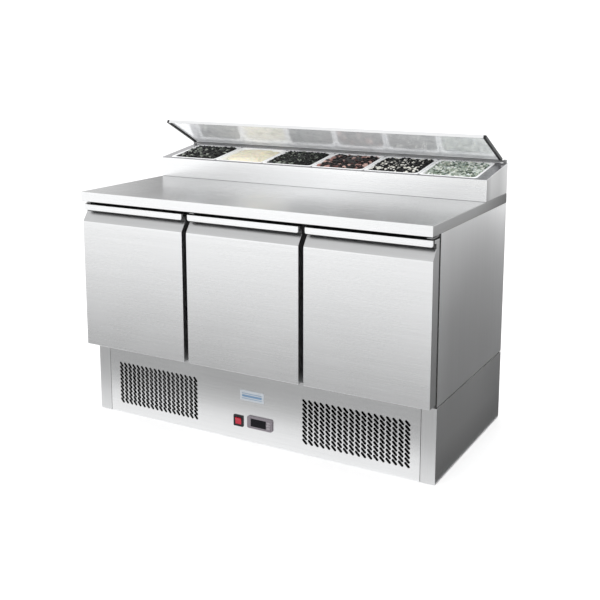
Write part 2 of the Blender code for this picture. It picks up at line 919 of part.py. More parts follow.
# ---------------------------------------------------------------- doors
def door_outline(inset):
    """Section of a door through its finger grip. The inset is the wall left outside it."""
    slope = math.atan2(RECESS_Y - DOOR_FRONT_Y, RECESS_DEEP - RECESS_LOW)
    shift = inset * math.tan(slope / 2)
    front = DOOR_FRONT_Y + inset
    deep = RECESS_Y + inset
    if inset:
        cap = DOOR_TOP - GRIP_CAP - (inset - SHEET)
        return [
            (front, DOOR_BOTTOM + inset),
            (front, RECESS_LOW - shift),
            (deep, RECESS_DEEP - shift),
            (deep, cap),
        ]
    return [
        (front, DOOR_BOTTOM),
        (front, RECESS_LOW),
        (deep, RECESS_DEEP),
        (deep, DOOR_TOP - GRIP_CAP),
        (LIP_Y + LIP_THICK, DOOR_TOP - GRIP_CAP),
        (LIP_Y + LIP_THICK, DOOR_TOP - LIP_HEIGHT),
        (LIP_Y, DOOR_TOP - LIP_HEIGHT),
        (LIP_Y, DOOR_TOP),
    ]


def closed_at(outline, y):
    """The outline carried back to a plane behind the door's front."""
    return outline + [(y, outline[-1][1]), (y, outline[0][1])]


def build_door(number, hinge_on_left):
    left, right = door_span(number - 1)
    axis_x = left + HINGE_INSET if hinge_on_left else right - HINGE_INSET
    hinge = pivot(f"door_{number}_hinge", (axis_x, HINGE_Y, 0.0))
    back = DOOR_BACK_Y
    bore = circle(BORE_RADIUS, 16)

    def local(points):
        return [(y - HINGE_Y, z) for y, z in points]

    left, right = left - axis_x, right - axis_x
    skin = piece(
        f"door_{number}_skin",
        "steel",
        lambda bm: add_prism(bm, local(closed_at(door_outline(0.0), back)), "X", left, right),
        parent=hinge,
    )
    combine(
        skin,
        "DIFFERENCE",
        "hollow",
        lambda bm: add_prism(
            bm,
            local(closed_at(door_outline(SHEET), back + 0.01)),
            "X",
            left + SHEET,
            right - SHEET,
        ),
    )

    def skin_bores(bm):
        add_prism(bm, bore, "Z", DOOR_TOP - 0.0085, DOOR_TOP + 0.01)
        add_prism(bm, bore, "Z", DOOR_BOTTOM - 0.01, DOOR_BOTTOM + 0.01)

    combine(skin, "DIFFERENCE", "bores", skin_bores)

    core = piece(
        f"door_{number}_liner",
        "white_liner",
        lambda bm: add_prism(
            bm,
            local(closed_at(door_outline(SHEET + GAP), back)),
            "X",
            left + SHEET + GAP,
            right - SHEET - GAP,
        ),
        parent=hinge,
    )
    combine(
        core,
        "DIFFERENCE",
        "bore",
        lambda bm: add_prism(bm, bore, "Z", DOOR_BOTTOM - 0.01, DOOR_BOTTOM + 0.014),
    )
    build_gasket(number, left, right, hinge_on_left, hinge)
    build_door_hinges(number, axis_x)


def build_gasket(number, left, right, hinge_on_left, hinge):
    """A magnetic seal round the back of a door, kept clear of the cabinet as the door swings."""
    near, far = 0.010, 0.003
    low_x = left + (near if hinge_on_left else far)
    high_x = right - (far if hinge_on_left else near)
    low_z, high_z = DOOR_BOTTOM + far, DOOR_TOP - far
    start, end = DOOR_BACK_Y + GAP - HINGE_Y, FACE_Y - 0.0005 - HINGE_Y
    ring = piece(
        f"door_{number}_gasket",
        "rubber",
        lambda bm: add_box(bm, (low_x, start, low_z), (high_x, end, high_z)),
        parent=hinge,
    )
    combine(
        ring,
        "DIFFERENCE",
        "inside",
        lambda bm: add_box(
            bm,
            (low_x + GASKET_WIDTH, start - 0.01, low_z + GASKET_WIDTH),
            (high_x - GASKET_WIDTH, end + 0.01, high_z - GASKET_WIDTH),
        ),
    )


def build_door_hinges(number, axis_x):
    """A bracket with a pin above and below each door."""
    upper = DOOR_TOP + 0.0025
    lower = DOOR_BOTTOM - HINGE_PLATE - 0.0005
    middle = HINGE_PLATE / 2
    for label, plate, pin, foot, foot_front in (
        (
            "top",
            upper,
            (DOOR_TOP - 0.0070, upper + middle),
            (upper + middle, WORKTOP_BOTTOM - 0.0005),
            -0.3120,
        ),
        (
            "bottom",
            lower,
            (lower + middle, DOOR_BOTTOM + 0.0110),
            (CABINET_BOTTOM + 0.0005, lower + middle),
            -0.3005,
        ),
    ):
        bracket = piece(
            f"door_hinge_{label}_{number}",
            "steel_dark",
            lambda bm, low=plate: add_box(
                bm,
                (axis_x - 0.010, HINGE_Y - 0.010, low),
                (axis_x + 0.010, FACE_Y - 0.0005, low + HINGE_PLATE),
            ),
            origin=(axis_x, HINGE_Y, plate),
        )
        combine(
            bracket,
            "UNION",
            "foot",
            lambda bm, span=foot, front=foot_front: add_box(
                bm,
                (axis_x - 0.0095, front, span[0]),
                (axis_x + 0.0095, FACE_Y - 0.0005, span[1]),
            ),
        )
        combine(
            bracket,
            "UNION",
            "pin",
            lambda bm, span=pin: add_prism(
                bm, circle(PIN_RADIUS, 16, (axis_x, HINGE_Y)), "Z", *span
            ),
        )


# ---------------------------------------------------------------- controls
def build_controls():
    """Mains switch and temperature controller, both clipped into the front panel."""
    half_x, half_z = SWITCH_BEZEL[0] / 2, SWITCH_BEZEL[1] / 2
    face = FACE_Y - GAP
    bezel_front = face - 0.003
    bezel = rounded_rectangle(
        (SWITCH_X - half_x, SWITCH_Z - half_z), (SWITCH_X + half_x, SWITCH_Z + half_z), 0.003
    )
    housing = piece(
        "switch_housing",
        "black",
        lambda bm: add_prism(bm, bezel, "Y", bezel_front, face),
        origin=(SWITCH_X, FACE_Y, SWITCH_Z),
    )
    combine(
        housing,
        "UNION",
        "body",
        lambda bm: add_box(
            bm,
            (SWITCH_X - 0.015, face - 0.001, SWITCH_Z - 0.0155),
            (SWITCH_X + 0.015, FACE_Y + 0.022, SWITCH_Z + 0.0155),
        ),
    )
    well_x, well_z = ROCKER[0] / 2 + 0.0004, ROCKER[1] / 2 + 0.0010
    combine(
        housing,
        "DIFFERENCE",
        "pocket",
        lambda bm: add_box(
            bm,
            (SWITCH_X - well_x, bezel_front - 0.01, SWITCH_Z - well_z),
            (SWITCH_X + well_x, FACE_Y + 0.010, SWITCH_Z + well_z),
        ),
    )
    build_rocker(bezel_front)
    build_controller(face)


def build_rocker(bezel_front):
    """A dished rocker, tipped to one of its two positions about an X axis."""
    axis_y = FACE_Y + 0.0015
    axis = pivot("switch_axis", (SWITCH_X, axis_y, SWITCH_Z), ROCKER_TILT_DEG)
    half = ROCKER[1] / 2
    front = bezel_front - 0.0022 - axis_y
    steps = 8
    outline = []
    for i in range(steps + 1):
        t = -1 + 2 * i / steps
        outline.append((front + 0.0016 * (1 - t * t), t * half))
    outline += [(0.0005, half), (0.0040, 0.0030), (0.0040, -0.0030), (0.0005, -half)]
    piece(
        "switch_rocker",
        "red",
        lambda bm: add_prism(bm, outline, "X", -ROCKER[0] / 2, ROCKER[0] / 2),
        parent=axis,
    )


def build_controller(face):
    half_x, half_z = CONTROL_BEZEL[0] / 2, CONTROL_BEZEL[1] / 2
    front = face - 0.006
    outline = rounded_rectangle(
        (CONTROL_X - half_x, CONTROL_Z - half_z), (CONTROL_X + half_x, CONTROL_Z + half_z), 0.006
    )
    housing = piece(
        "controller_housing",
        "grey_plastic",
        lambda bm: add_prism(bm, outline, "Y", front, face),
        origin=(CONTROL_X, FACE_Y, CONTROL_Z),
    )
    combine(
        housing,
        "UNION",
        "body",
        lambda bm: add_box(
            bm,
            (CONTROL_X - 0.0355, face - 0.001, CONTROL_Z - 0.0145),
            (CONTROL_X + 0.0355, FACE_Y + 0.050, CONTROL_Z + 0.0145),
        ),
    )

    pocket_floor = front + 0.0028

    def pockets(bm):
        add_box(
            bm,
            (CONTROL_X - 0.036, front - 0.01, CONTROL_Z - 0.0145),
            (CONTROL_X + 0.0265, front + 0.0012, CONTROL_Z + 0.0145),
        )
        spare = 0.0003
        for _, z in key_rows():
            add_box(
                bm,
                (KEY_X - KEY_SIZE[0] / 2 - spare, front - 0.01, z - KEY_SIZE[1] / 2 - spare),
                (KEY_X + KEY_SIZE[0] / 2 + spare, pocket_floor, z + KEY_SIZE[1] / 2 + spare),
            )

    combine(housing, "DIFFERENCE", "pockets", pockets)
    for name, z in key_rows():
        cap = rounded_rectangle(
            (-KEY_SIZE[0] / 2, -KEY_SIZE[1] / 2), (KEY_SIZE[0] / 2, KEY_SIZE[1] / 2), 0.002
        )
        key = piece(
            name,
            "black",
            lambda bm, cap=cap: add_prism(bm, cap, "Y", -0.0008, 0.0020),
        )
        key.location = (KEY_X, front, z)


def key_rows():
    return (
        ("key_up", CONTROL_Z + KEY_PITCH),
        ("key_set", CONTROL_Z),
        ("key_down", CONTROL_Z - KEY_PITCH),
    )


# ---------------------------------------------------------------- whole object
def main():
    for old in list(bpy.data.objects):
        bpy.data.objects.remove(old, do_unlink=True)
    build_base()
    build_condensing_unit()
    build_cabinet()
    build_worktop()
    rim = pivot("rim_plane", (0.0, HOPPER_Y, HOPPER_FRONT_Z), math.degrees(SLOPE))
    build_hopper(rim)
    build_lid(rim)
    for number, hinge_on_left in ((1, True), (2, True), (3, False)):
        build_door(number, hinge_on_left)
    build_controls()


main()
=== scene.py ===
import json
import math
import random

import bmesh
import bpy
import numpy as np
from mathutils import Matrix, Vector, noise


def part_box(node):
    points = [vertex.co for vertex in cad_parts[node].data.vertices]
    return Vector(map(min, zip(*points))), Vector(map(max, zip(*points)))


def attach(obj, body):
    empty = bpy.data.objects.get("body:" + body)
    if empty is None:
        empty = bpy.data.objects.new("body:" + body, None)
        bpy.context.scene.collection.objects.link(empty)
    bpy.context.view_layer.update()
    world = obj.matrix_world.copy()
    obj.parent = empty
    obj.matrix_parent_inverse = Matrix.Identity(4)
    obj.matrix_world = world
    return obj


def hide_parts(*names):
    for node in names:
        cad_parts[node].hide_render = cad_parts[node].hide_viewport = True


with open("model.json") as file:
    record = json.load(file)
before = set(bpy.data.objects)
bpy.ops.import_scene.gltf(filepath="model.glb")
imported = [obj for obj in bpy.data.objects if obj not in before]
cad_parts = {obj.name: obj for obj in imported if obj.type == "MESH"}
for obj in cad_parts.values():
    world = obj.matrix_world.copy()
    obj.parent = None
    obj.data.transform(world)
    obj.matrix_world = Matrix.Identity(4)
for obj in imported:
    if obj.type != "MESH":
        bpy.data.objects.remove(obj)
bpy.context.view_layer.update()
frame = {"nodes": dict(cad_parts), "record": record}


# ---------------------------------------------------------------- node graphs
class Graph:
    """Short calls for building a node graph, in a new material or in one that is there."""

    def __init__(self, material):
        if isinstance(material, str):
            material = bpy.data.materials.new(material)
            material.use_nodes = True
        self.material = material
        self.tree = material.node_tree
        self.shader = self.tree.nodes["Principled BSDF"]
        self.place = self.tree.nodes.new("ShaderNodeTexCoord").outputs["Object"]

    def add(self, kind, **settings):
        made = self.tree.nodes.new("ShaderNode" + kind)
        for key, value in settings.items():
            setattr(made, key, value)
        return made

    def join(self, source, target):
        """Links a socket to an input, or sets the input to a number or colour."""
        if isinstance(source, (int, float, tuple)):
            target.default_value = source
        else:
            self.tree.links.new(source, target)

    def stretch(self, scale):
        mapping = self.add("Mapping")
        self.join(scale, mapping.inputs["Scale"])
        self.join(self.place, mapping.inputs["Vector"])
        return mapping.outputs["Vector"]

    def noise(self, scale, detail=2.0, roughness=0.5, distortion=0.0, stretch=None):
        made = self.add("TexNoise")
        self.join(scale, made.inputs["Scale"])
        self.join(detail, made.inputs["Detail"])
        self.join(roughness, made.inputs["Roughness"])
        self.join(distortion, made.inputs["Distortion"])
        self.join(self.stretch(stretch) if stretch else self.place, made.inputs["Vector"])
        return made.outputs["Fac"]

    def ramp(self, source, stops):
        made = self.add("ValToRGB")
        elements = made.color_ramp.elements
        while len(elements) < len(stops):
            elements.new(0.5)
        for element, (at, colour) in zip(elements, stops):
            element.position = at
            if isinstance(colour, (int, float)):
                colour = (colour,) * 3
            element.color = (*colour, 1.0)
        self.join(source, made.inputs["Fac"])
        return made.outputs["Color"]

    def along(self, axis, stops):
        """A ramp along one axis of the object, numbered from 0. Stops are (metres, colour)."""
        start, end = stops[0][0], stops[-1][0]
        split = self.add("SeparateXYZ")
        self.join(self.place, split.inputs[0])
        reach = self.add("MapRange")
        self.join(start, reach.inputs["From Min"])
        self.join(end, reach.inputs["From Max"])
        self.join(split.outputs[axis], reach.inputs["Value"])
        shares = [((at - start) / (end - start), colour) for at, colour in stops]
        return self.ramp(reach.outputs["Result"], shares)

    def span(self, source, low, high):
        """Maps 0..1 to low..high."""
        made = self.add("MapRange")
        self.join(low, made.inputs["To Min"])
        self.join(high, made.inputs["To Max"])
        self.join(source, made.inputs["Value"])
        return made.outputs["Result"]

    def math(self, operation, a, b):
        made = self.add("Math", operation=operation)
        self.join(a, made.inputs[0])
        self.join(b, made.inputs[1])
        return made.outputs[0]

    def mix(self, factor, a, b, blend="MIX"):
        made = self.add("MixRGB", blend_type=blend)
        for value, socket in ((factor, "Fac"), (a, "Color1"), (b, "Color2")):
            if isinstance(value, tuple) and len(value) == 3:
                value = (*value, 1.0)
            self.join(value, made.inputs[socket])
        return made.outputs["Color"]

    def bump(self, height, strength, distance, below=None):
        made = self.add("Bump")
        self.join(strength, made.inputs["Strength"])
        self.join(distance, made.inputs["Distance"])
        self.join(height, made.inputs["Height"])
        if below is not None:
            self.join(below, made.inputs["Normal"])
        return made.outputs["Normal"]

    def set(self, **inputs):
        for key, value in inputs.items():
            self.join(value, self.shader.inputs[key.replace("_", " ")])
        return self.material


def steel(name, grain, tone, rough, streak=1.0, tint=(0.985, 0.992, 1.0)):
    """Brushed stainless sheet. The grain runs along X, Y or Z."""
    graph = Graph(name)

    def lines(along, across, roughness):
        """Noise drawn out along the grain, with its scale along and across it."""
        stretch = tuple(along if axis == grain else across for axis in "XYZ")
        return graph.noise(1.0, 3.0, roughness, stretch=stretch)

    fine, broad = lines(9.0, 1500.0, 0.6), lines(1.1, 120.0, 0.55)
    cloud = graph.noise(2.6, 3.0, 0.5)
    shift = graph.math(
        "ADD", graph.span(fine, -0.05 * streak, 0.05 * streak), graph.span(broad, -0.04, 0.04)
    )
    shift = graph.math("ADD", shift, graph.span(cloud, -0.03, 0.03))
    value = graph.math("ADD", shift, tone)
    colour = graph.mix(1.0, graph.ramp(value, [(0.0, 0.0), (1.0, 1.0)]), tint, "MULTIPLY")
    rougher = graph.math(
        "ADD", graph.span(fine, rough - 0.05, rough + 0.05), graph.span(cloud, -0.05, 0.05)
    )
    normal = graph.bump(fine, 0.10 * streak, 0.00025, graph.bump(broad, 0.05, 0.0008))
    return graph.set(Base_Color=colour, Roughness=rougher, Metallic=1.0, Normal=normal)


def coated(name, colour, rough, grain_mm=0.6, depth=0.00006, variation=0.06, specular=0.5):
    """Paint, powder coat or moulded plastic with a fine texture and slight unevenness."""
    graph = Graph(name)
    texture = graph.noise(1000.0 / grain_mm, 2.0, 0.6)
    cloud = graph.noise(9.0, 3.0, 0.55)
    darker = tuple(c * (1 - variation) for c in colour)
    lighter = tuple(min(1.0, c * (1 + variation)) for c in colour)
    tone = graph.mix(cloud, darker, lighter)
    uneven = graph.math(
        "ADD", graph.span(texture, rough - 0.05, rough + 0.05), graph.span(cloud, -0.05, 0.05)
    )
    return graph.set(
        Base_Color=tone,
        Roughness=uneven,
        Metallic=0.0,
        Specular_IOR_Level=specular,
        Normal=graph.bump(texture, 0.5, depth),
    )


def food_material(name, stops, rough, coat=0.0, subsurface=0.0, mottled=0.25, wrinkle=0.0008):
    """Food whose pieces take their shade from the 'tint' attribute, with mottling on top."""
    graph = Graph(name)
    tint = graph.add("Attribute", attribute_name="tint").outputs["Fac"]
    spots = graph.noise(160.0, 3.0, 0.6)
    mixed = graph.math("ADD", tint, graph.span(spots, -mottled / 2, mottled / 2))
    skin = graph.noise(420.0, 2.0, 0.6)
    return graph.set(
        Base_Color=graph.ramp(mixed, stops),
        Roughness=graph.span(spots, rough - 0.08, rough + 0.10),
        Normal=graph.bump(skin, 0.5, wrinkle),
        Specular_IOR_Level=0.25,
        Coat_Weight=coat,
        Coat_Roughness=0.12,
        Subsurface_Weight=subsurface,
        Subsurface_Radius=(0.006, 0.004, 0.002),
        Subsurface_Scale=1.0,
    )


def painted_shading(material, axis, stops):
    """Paints light and shade into a material's colour along one axis of the object. Stops are
    (metres, factor).
    """
    graph = Graph(material)
    source = graph.shader.inputs["Base Color"].links[0].from_socket
    return graph.set(Base_Color=graph.mix(1.0, source, graph.along(axis, stops), "MULTIPLY"))


def mottled(material):
    """A cloudy film of droplets in the colour, as on a cold lid. The film also sets a glow of its
    own, which is painted light.
    """
    graph = Graph(material)
    source = graph.shader.inputs["Base Color"].links[0].from_socket
    cloud = graph.noise(26.0, 4.0, 0.62, 0.8)
    drops = graph.noise(190.0, 3.0, 0.6)
    both = graph.math("ADD", graph.span(cloud, 0.0, 0.65), graph.span(drops, 0.0, 0.35))
    film = graph.ramp(both, [(0.32, (0.66, 0.67, 0.69)), (0.50, (0.84, 0.85, 0.86)), (0.68, 0.95)])
    return graph.set(
        Base_Color=graph.mix(1.0, source, film, "MULTIPLY"),
        Emission_Color=film,
        Roughness=graph.span(drops, 0.05, 0.24),
    )


def plain(material, **inputs):
    """Sets uniform values on a material's shader."""
    shader = material.node_tree.nodes["Principled BSDF"]
    for key, value in inputs.items():
        shader.inputs[key.replace("_", " ")].default_value = value
    return material


WHITE = (1.0, 1.0, 1.0, 1.0)
X, Y, Z = 0, 1, 2  # axes that painted light and shade run along
# Many steels below are one brushed steel in lighter and darker tones, set for each face by how
# brightly it is lit: painted light and shade.
M = {
    "front": steel("steel_front", "X", 0.87, 0.28),
    # Darker slope of the door's grip: painted shade.
    "recess": steel("steel_recess", "X", 0.52, 0.30),
    # Near black steel in the grip's hollow and on the vent slots' walls: painted shade.
    "deep": steel("steel_grip", "X", 0.10, 0.45),
    # Darker ends of the doors: painted shade.
    "door_side": steel("steel_door_side", "Z", 0.62, 0.32),
    # Lighter lip at the top of each door: painted highlight.
    "lip": steel("steel_lip", "X", 0.92, 0.28),
    "base": steel("steel_base", "X", 0.86, 0.20),
    # Darker fronts of the base sides: painted shade.
    "post": steel("steel_post", "Z", 0.72, 0.34),
    # Darker worktop top with lighter and darker bands across it: painted reflection and shade.
    "top": painted_shading(
        steel("steel_worktop", "X", 0.58, 0.26, 1.2),
        X,
        [(-0.68, 0.88), (-0.45, 0.74), (-0.20, 0.95), (0.05, 1.12), (0.30, 0.90), (0.50, 0.74),
         (0.68, 0.78)],
    ),
    # Lighter front of the worktop: painted light.
    "apron": steel("steel_apron", "X", 0.90, 0.28),
    # Sides lighter towards their front and back edges: painted light.
    "side": painted_shading(
        steel("steel_side", "Z", 0.82, 0.32),
        Y,
        [(-0.29, 1.10), (-0.20, 1.02), (0.15, 1.02), (0.36, 1.18)],
    ),
    # Base sides darker towards the floor: painted shade.
    "base_side": painted_shading(
        steel("steel_base_side", "Z", 0.78, 0.30), Z, [(0.0, 0.62), (0.12, 0.92), (0.256, 1.0)]
    ),
    # Worktop ends, darker towards the back: painted shade.
    "end": painted_shading(
        steel("steel_worktop_end", "Y", 0.48, 0.34), Y, [(-0.36, 1.0), (0.02, 0.80), (0.36, 0.18)]
    ),
    # Hopper lighter towards the right, with a glow of its own: painted light.
    "hopper": plain(
        painted_shading(
            steel("steel_hopper", "X", 0.95, 0.26),
            X,
            [(-0.68, 0.92), (-0.30, 0.95), (0.10, 1.04), (0.68, 1.05)],
        ),
        Emission_Color=WHITE,
        Emission_Strength=0.06,
    ),
    # Hopper ends, darker near the front: painted shade.
    "hopper_side": painted_shading(
        steel("steel_hopper_side", "Z", 0.62, 0.30),
        Y,
        [(0.128, 0.52), (0.18, 0.82), (0.27, 0.72), (0.36, 0.95)],
    ),
    "rim": steel("steel_rim", "X", 0.42, 0.26, tint=(0.97, 0.96, 1.0)),
    # Pans with a glow of their own: painted light.
    "pan": plain(steel("steel_pan", "X", 0.97, 0.26, 0.5), Metallic=0.14, Emission_Strength=0.10),
    "lid": steel("steel_lid", "X", 0.80, 0.28),
    "hem": steel("steel_lid_hem", "X", 0.80, 0.34),
    # Lid liner with a glow of its own from the droplet film: painted light.
    "liner": plain(
        mottled(steel("steel_lid_liner", "X", 0.90, 0.10, 0.5)),
        Metallic=0.42,
        Emission_Strength=0.26,
    ),
    "dark": steel("steel_frame", "X", 0.34, 0.42),
    # Near black cabinet front seen in the door gaps: painted shade.
    "frame": steel("steel_face_frame", "Z", 0.12, 0.45),
    "shade": coated("shadow_gap", (0.02, 0.02, 0.02), 0.6),
    "zinc": plain(coated("zinc_sheet", (0.52, 0.54, 0.56), 0.42, 4.0, 0.00002, 0.12), Metallic=0.7),
    "hood": plain(coated("zinc_hood", (0.60, 0.62, 0.64), 0.36, 4.0, 0.00002, 0.10), Metallic=0.8),
    # Near black: the tray's paint, and painted shade inside the base and the cabinet.
    "tray": coated("tray_paint", (0.030, 0.030, 0.032), 0.50, 2.0, 0.00004, 0.12),
    "foam": coated("foam_core", (0.84, 0.78, 0.56), 0.9, 2.0, 0.0003),
    "white": coated("white_coat", (0.86, 0.86, 0.85), 0.42),
    "rubber": coated("seal_rubber", (0.030, 0.030, 0.032), 0.66, 0.5),
    "black": coated("black_plastic", (0.010, 0.010, 0.012), 0.40, specular=0.35),
    "grey": coated("grey_plastic", (0.18, 0.16, 0.18), 0.42),
    "key": coated("key_plastic", (0.27, 0.25, 0.27), 0.45),
    "red": coated("red_plastic", (0.42, 0.010, 0.03), 0.22, 1.5, 0.00002),
    "glass": coated("display_window", (0.004, 0.004, 0.006), 0.20, 3.0, 0.00001, specular=0.15),
    "badge": coated("badge_face", (0.40, 0.43, 0.46), 0.38, 0.8, 0.00002),
    "badge_band": coated("badge_band", (0.13, 0.22, 0.34), 0.38, 0.8, 0.00002),
    "coil": plain(
        coated("aluminium_fins", (0.62, 0.62, 0.60), 0.40, 1.2, 0.0001, 0.10), Metallic=0.8
    ),
    # Black condenser fins: their paint, and painted shade behind the vents.
    "black_fins": coated("painted_fins", (0.015, 0.015, 0.016), 0.45, 1.2, 0.0001, 0.10),
    "enamel": coated("black_enamel", (0.02, 0.02, 0.022), 0.28, 3.0, 0.00004),
}


# ---------------------------------------------------------------- measures taken from the frame
BODY_OF = {
    node: body
    for body, nodes in frame["record"]["behaviour"]["bodies"].items()
    for node in nodes
}


def low_high(node):
    low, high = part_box(node)
    return Vector(low), Vector(high)


top_low, top_high = low_high("worktop")
casing_low, casing_high = low_high("hopper_casing")
base_low, base_high = low_high("base_front_panel")
RIM_FRONT_Z, RIM_BACK_Z = 0.925, 0.958  # height of the hopper's rim at its front and back
SLOPE = math.atan2(RIM_BACK_Z - RIM_FRONT_Z, casing_high.y - casing_low.y)
RIM = Matrix.Translation((0.0, casing_low.y, RIM_FRONT_Z)) @ Matrix.Rotation(SLOPE, 4, "X")
LID_OPEN = math.radians(35.3)  # how far the lid stands open at rest


# ---------------------------------------------------------------- mesh helpers
def box(bm, low, high):
    corners = [
        bm.verts.new((x, y, z))
        for x in (low[0], high[0])
        for y in (low[1], high[1])
        for z in (low[2], high[2])
    ]
    sides = ((0, 1, 3, 2), (4, 6, 7, 5), (0, 4, 5, 1), (2, 3, 7, 6), (0, 2, 6, 4), (1, 5, 7, 3))
    for ring in sides:
        bm.faces.new([corners[i] for i in ring])


def loft(bm, loops, wrap=False):
    """Closed loops joined in order. Wrapped loops make a ring; others have their ends filled."""
    rings = [[bm.verts.new(point) for point in loop] for loop in loops]
    pairs = list(zip(rings, rings[1:]))
    if wrap:
        pairs.append((rings[-1], rings[0]))
    for lower, upper in pairs:
        for i in range(len(lower)):
            j = (i + 1) % len(lower)
            bm.faces.new((lower[i], lower[j], upper[j], upper[i]))
    if not wrap:
        bm.faces.new(rings[0])
        bm.faces.new(rings[-1])


def rod(bm, start, end, radius, sides):
    start, end = Vector(start), Vector(end)
    along = (end - start).normalized()
    side = along.orthogonal().normalized()
    other = along.cross(side)
    turns = [2 * math.pi * i / sides for i in range(sides)]
    ring = [side * math.cos(a) * radius + other * math.sin(a) * radius for a in turns]
    loft(bm, [[start + p for p in ring], [end + p for p in ring]])


def rounded(low, high, radius, steps=5):
    """A rectangle with rounded corners, anticlockwise."""
    centres = (
        (high[0] - radius, high[1] - radius),
        (low[0] + radius, high[1] - radius),
        (low[0] + radius, low[1] + radius),
        (high[0] - radius, low[1] + radius),
    )
    points = []
    for quarter, (x, y) in enumerate(centres):
        for i in range(steps + 1):
            angle = (quarter + i / steps) * math.pi / 2
            points.append((x + radius * math.cos(angle), y + radius * math.sin(angle)))
    return points


def corners(x0, y0, x1, y1):
    """The corners of a rectangle, anticlockwise."""
    return [(x0, y0), (x1, y0), (x1, y1), (x0, y1)]


def upright(sides, inset, y, radius, steps=5):
    """A rounded rectangle in the XZ plane at y. Its sides (x0, z0, x1, z1) move in by the inset."""
    x0, z0, x1, z1 = sides
    outline = rounded((x0 + inset, z0 + inset), (x1 - inset, z1 - inset), radius, steps)
    return [(x, y, z) for x, z in outline]


def filleted(points, steps):
    """An outline given as (a, b, radius) corners, each rounded to its radius."""
    outline = []
    for i, (a, b, radius) in enumerate(points):
        here = Vector((a, b))
        before = Vector(points[i - 1][:2]) - here
        after = Vector(points[(i + 1) % len(points)][:2]) - here
        half = before.angle(after) / 2
        reach = min(radius / math.tan(half), before.length * 0.49, after.length * 0.49)
        radius = reach * math.tan(half)
        before, after = before.normalized(), after.normalized()
        middle = here + (before + after).normalized() * (radius / math.sin(half))
        first, last = here + before * reach - middle, here + after * reach - middle
        turn = first.angle_signed(last)
        for k in range(steps + 1):
            spun = first.copy()
            spun.rotate(Matrix.Rotation(-turn * k / steps, 2))
            outline.append(tuple(middle + spun))
    return outline


def round_edges(bm, width, segments):
    """Bevels every edge that turns by more than 30 degrees."""
    bm.normal_update()
    limit = math.radians(30)
    sharp = [e for e in bm.edges if len(e.link_faces) == 2 and e.calc_face_angle(0) > limit]
    bmesh.ops.bevel(
        bm,
        geom=sharp,
        offset=width,
        segments=segments,
        profile=0.6,
        affect="EDGES",
        clamp_overlap=True,
    )


def place(name, data):
    """A new object at the origin, linked to the scene."""
    made = bpy.data.objects.new(name, data)
    bpy.context.scene.collection.objects.link(made)
    return made


def smooth(obj, sharp, weight):
    """Smooth shading, except at edges over the sharp angle. A weight above 0 keeps flats flat."""
    obj.data.shade_smooth()
    obj.data.set_sharp_from_angle(angle=math.radians(sharp))
    if weight:
        even = obj.modifiers.new("even", "WEIGHTED_NORMAL")
        even.keep_sharp = True
        even.weight = weight


def wear(obj, body, material, replaced=()):
    """Gives a new piece its material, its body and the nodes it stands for."""
    obj.data.materials.clear()
    for one in material if isinstance(material, (list, tuple)) else (material,):
        obj.data.materials.append(one)
    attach(obj, body)
    if replaced:
        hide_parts(*replaced)
    return obj


def piece(
    name, build, body, material, replaced=(), edge=0.0, segments=2, sharp=35, flat=True
):
    """A new object whose mesh build(bm) draws in world coordinates."""
    bm = bmesh.new()
    build(bm)
    bmesh.ops.recalc_face_normals(bm, faces=bm.faces)
    if edge:
        round_edges(bm, edge, segments)
    mesh = bpy.data.meshes.new(name)
    bm.to_mesh(mesh)
    bm.free()
    made = place(name, mesh)
    smooth(made, sharp, 100 if flat else 0)
    return wear(made, body, material, replaced)


def refined(node, material, edge=0.0005, segments=2):
    """The CAD node's own shape with its edges rounded, standing for that node."""
    source = frame["nodes"][node]

    def build(bm):
        bm.from_mesh(source.data)
        bmesh.ops.remove_doubles(bm, verts=bm.verts, dist=2e-6)
        bmesh.ops.dissolve_limit(
            bm, angle_limit=math.radians(0.5), verts=bm.verts, edges=bm.edges
        )

    return piece(
        f"{node}_look", build, BODY_OF[node], material, [node], edge, segments, 50
    )


def sort_faces(obj, *rules):
    """Gives each face the material of the first rule that fits it. Rules are (index, test)."""
    for face in obj.data.polygons:
        face.material_index = next((index for index, fits in rules if fits(face)), 0)


# ---------------------------------------------------------------- worktop and hopper
def make_worktop():
    half, edge, z0, z1 = top_high.x, 0.0025, top_low.z, top_high.z
    turns = [math.radians(a) for a in (90, 68, 45, 22, 0)]
    levels = [(edge * (1 - math.cos(a)), z1 - edge * (1 - math.sin(a))) for a in turns]
    levels += [(0.0, z0 + 0.0012), (0.0004, z0 + 0.0004), (0.0014, z0)]
    well = corners(-0.655, 0.142, 0.655, 0.346)

    def sheet(bm):
        """A slab with a hole. The levels run from the outer top edge down to the underside."""
        loops = []
        for inset, z in levels:
            outline = corners(
                -half + inset, top_low.y + inset, half - inset, top_high.y - inset
            )
            loops.append([(x, y, z) for x, y in outline])
        loops += [[(x, y, z) for x, y in well] for z in (z0, z1)]
        loft(bm, loops, wrap=True)

    made = piece(
        "worktop_sheet",
        sheet,
        "cabinet",
        [M["top"], M["apron"], M["end"], M["shade"]],
        ["worktop"],
    )
    # The worktop's front and ends take lighter and darker steels, and its underside is black:
    # painted light, shade and shadow.
    sort_faces(
        made,
        (1, lambda face: abs(face.normal.y) > 0.7),
        (2, lambda face: abs(face.normal.x) > 0.7),
        (3, lambda face: face.normal.z < -0.7),
    )


def make_hopper():
    made = refined("hopper_casing", [M["hopper"], M["hopper_side"]], 0.0010, 3)
    # The hopper's ends take a darker, graded steel: painted shade.
    sort_faces(made, (1, lambda face: abs(face.normal.x) > 0.8))


# ---------------------------------------------------------------- pans and their food
# The rim's sloping plane has x across, v back from the rim's front edge and n square to it.
PAN_HALF_X, PAN_HALF_V = 0.099, 0.09575  # half the size of a pan's mouth
PAN_V, PAN_SEAT = 0.11025, 0.0021  # v of the pans' middle, and n of the level they hang at
PAN_X = [-0.5375 + 0.215 * i for i in range(6)]
LID_CLEAR = 0.0070  # food stays below this height over a pan's seat


def on_rim(x, v, n):
    return RIM @ Vector((x, v, n))


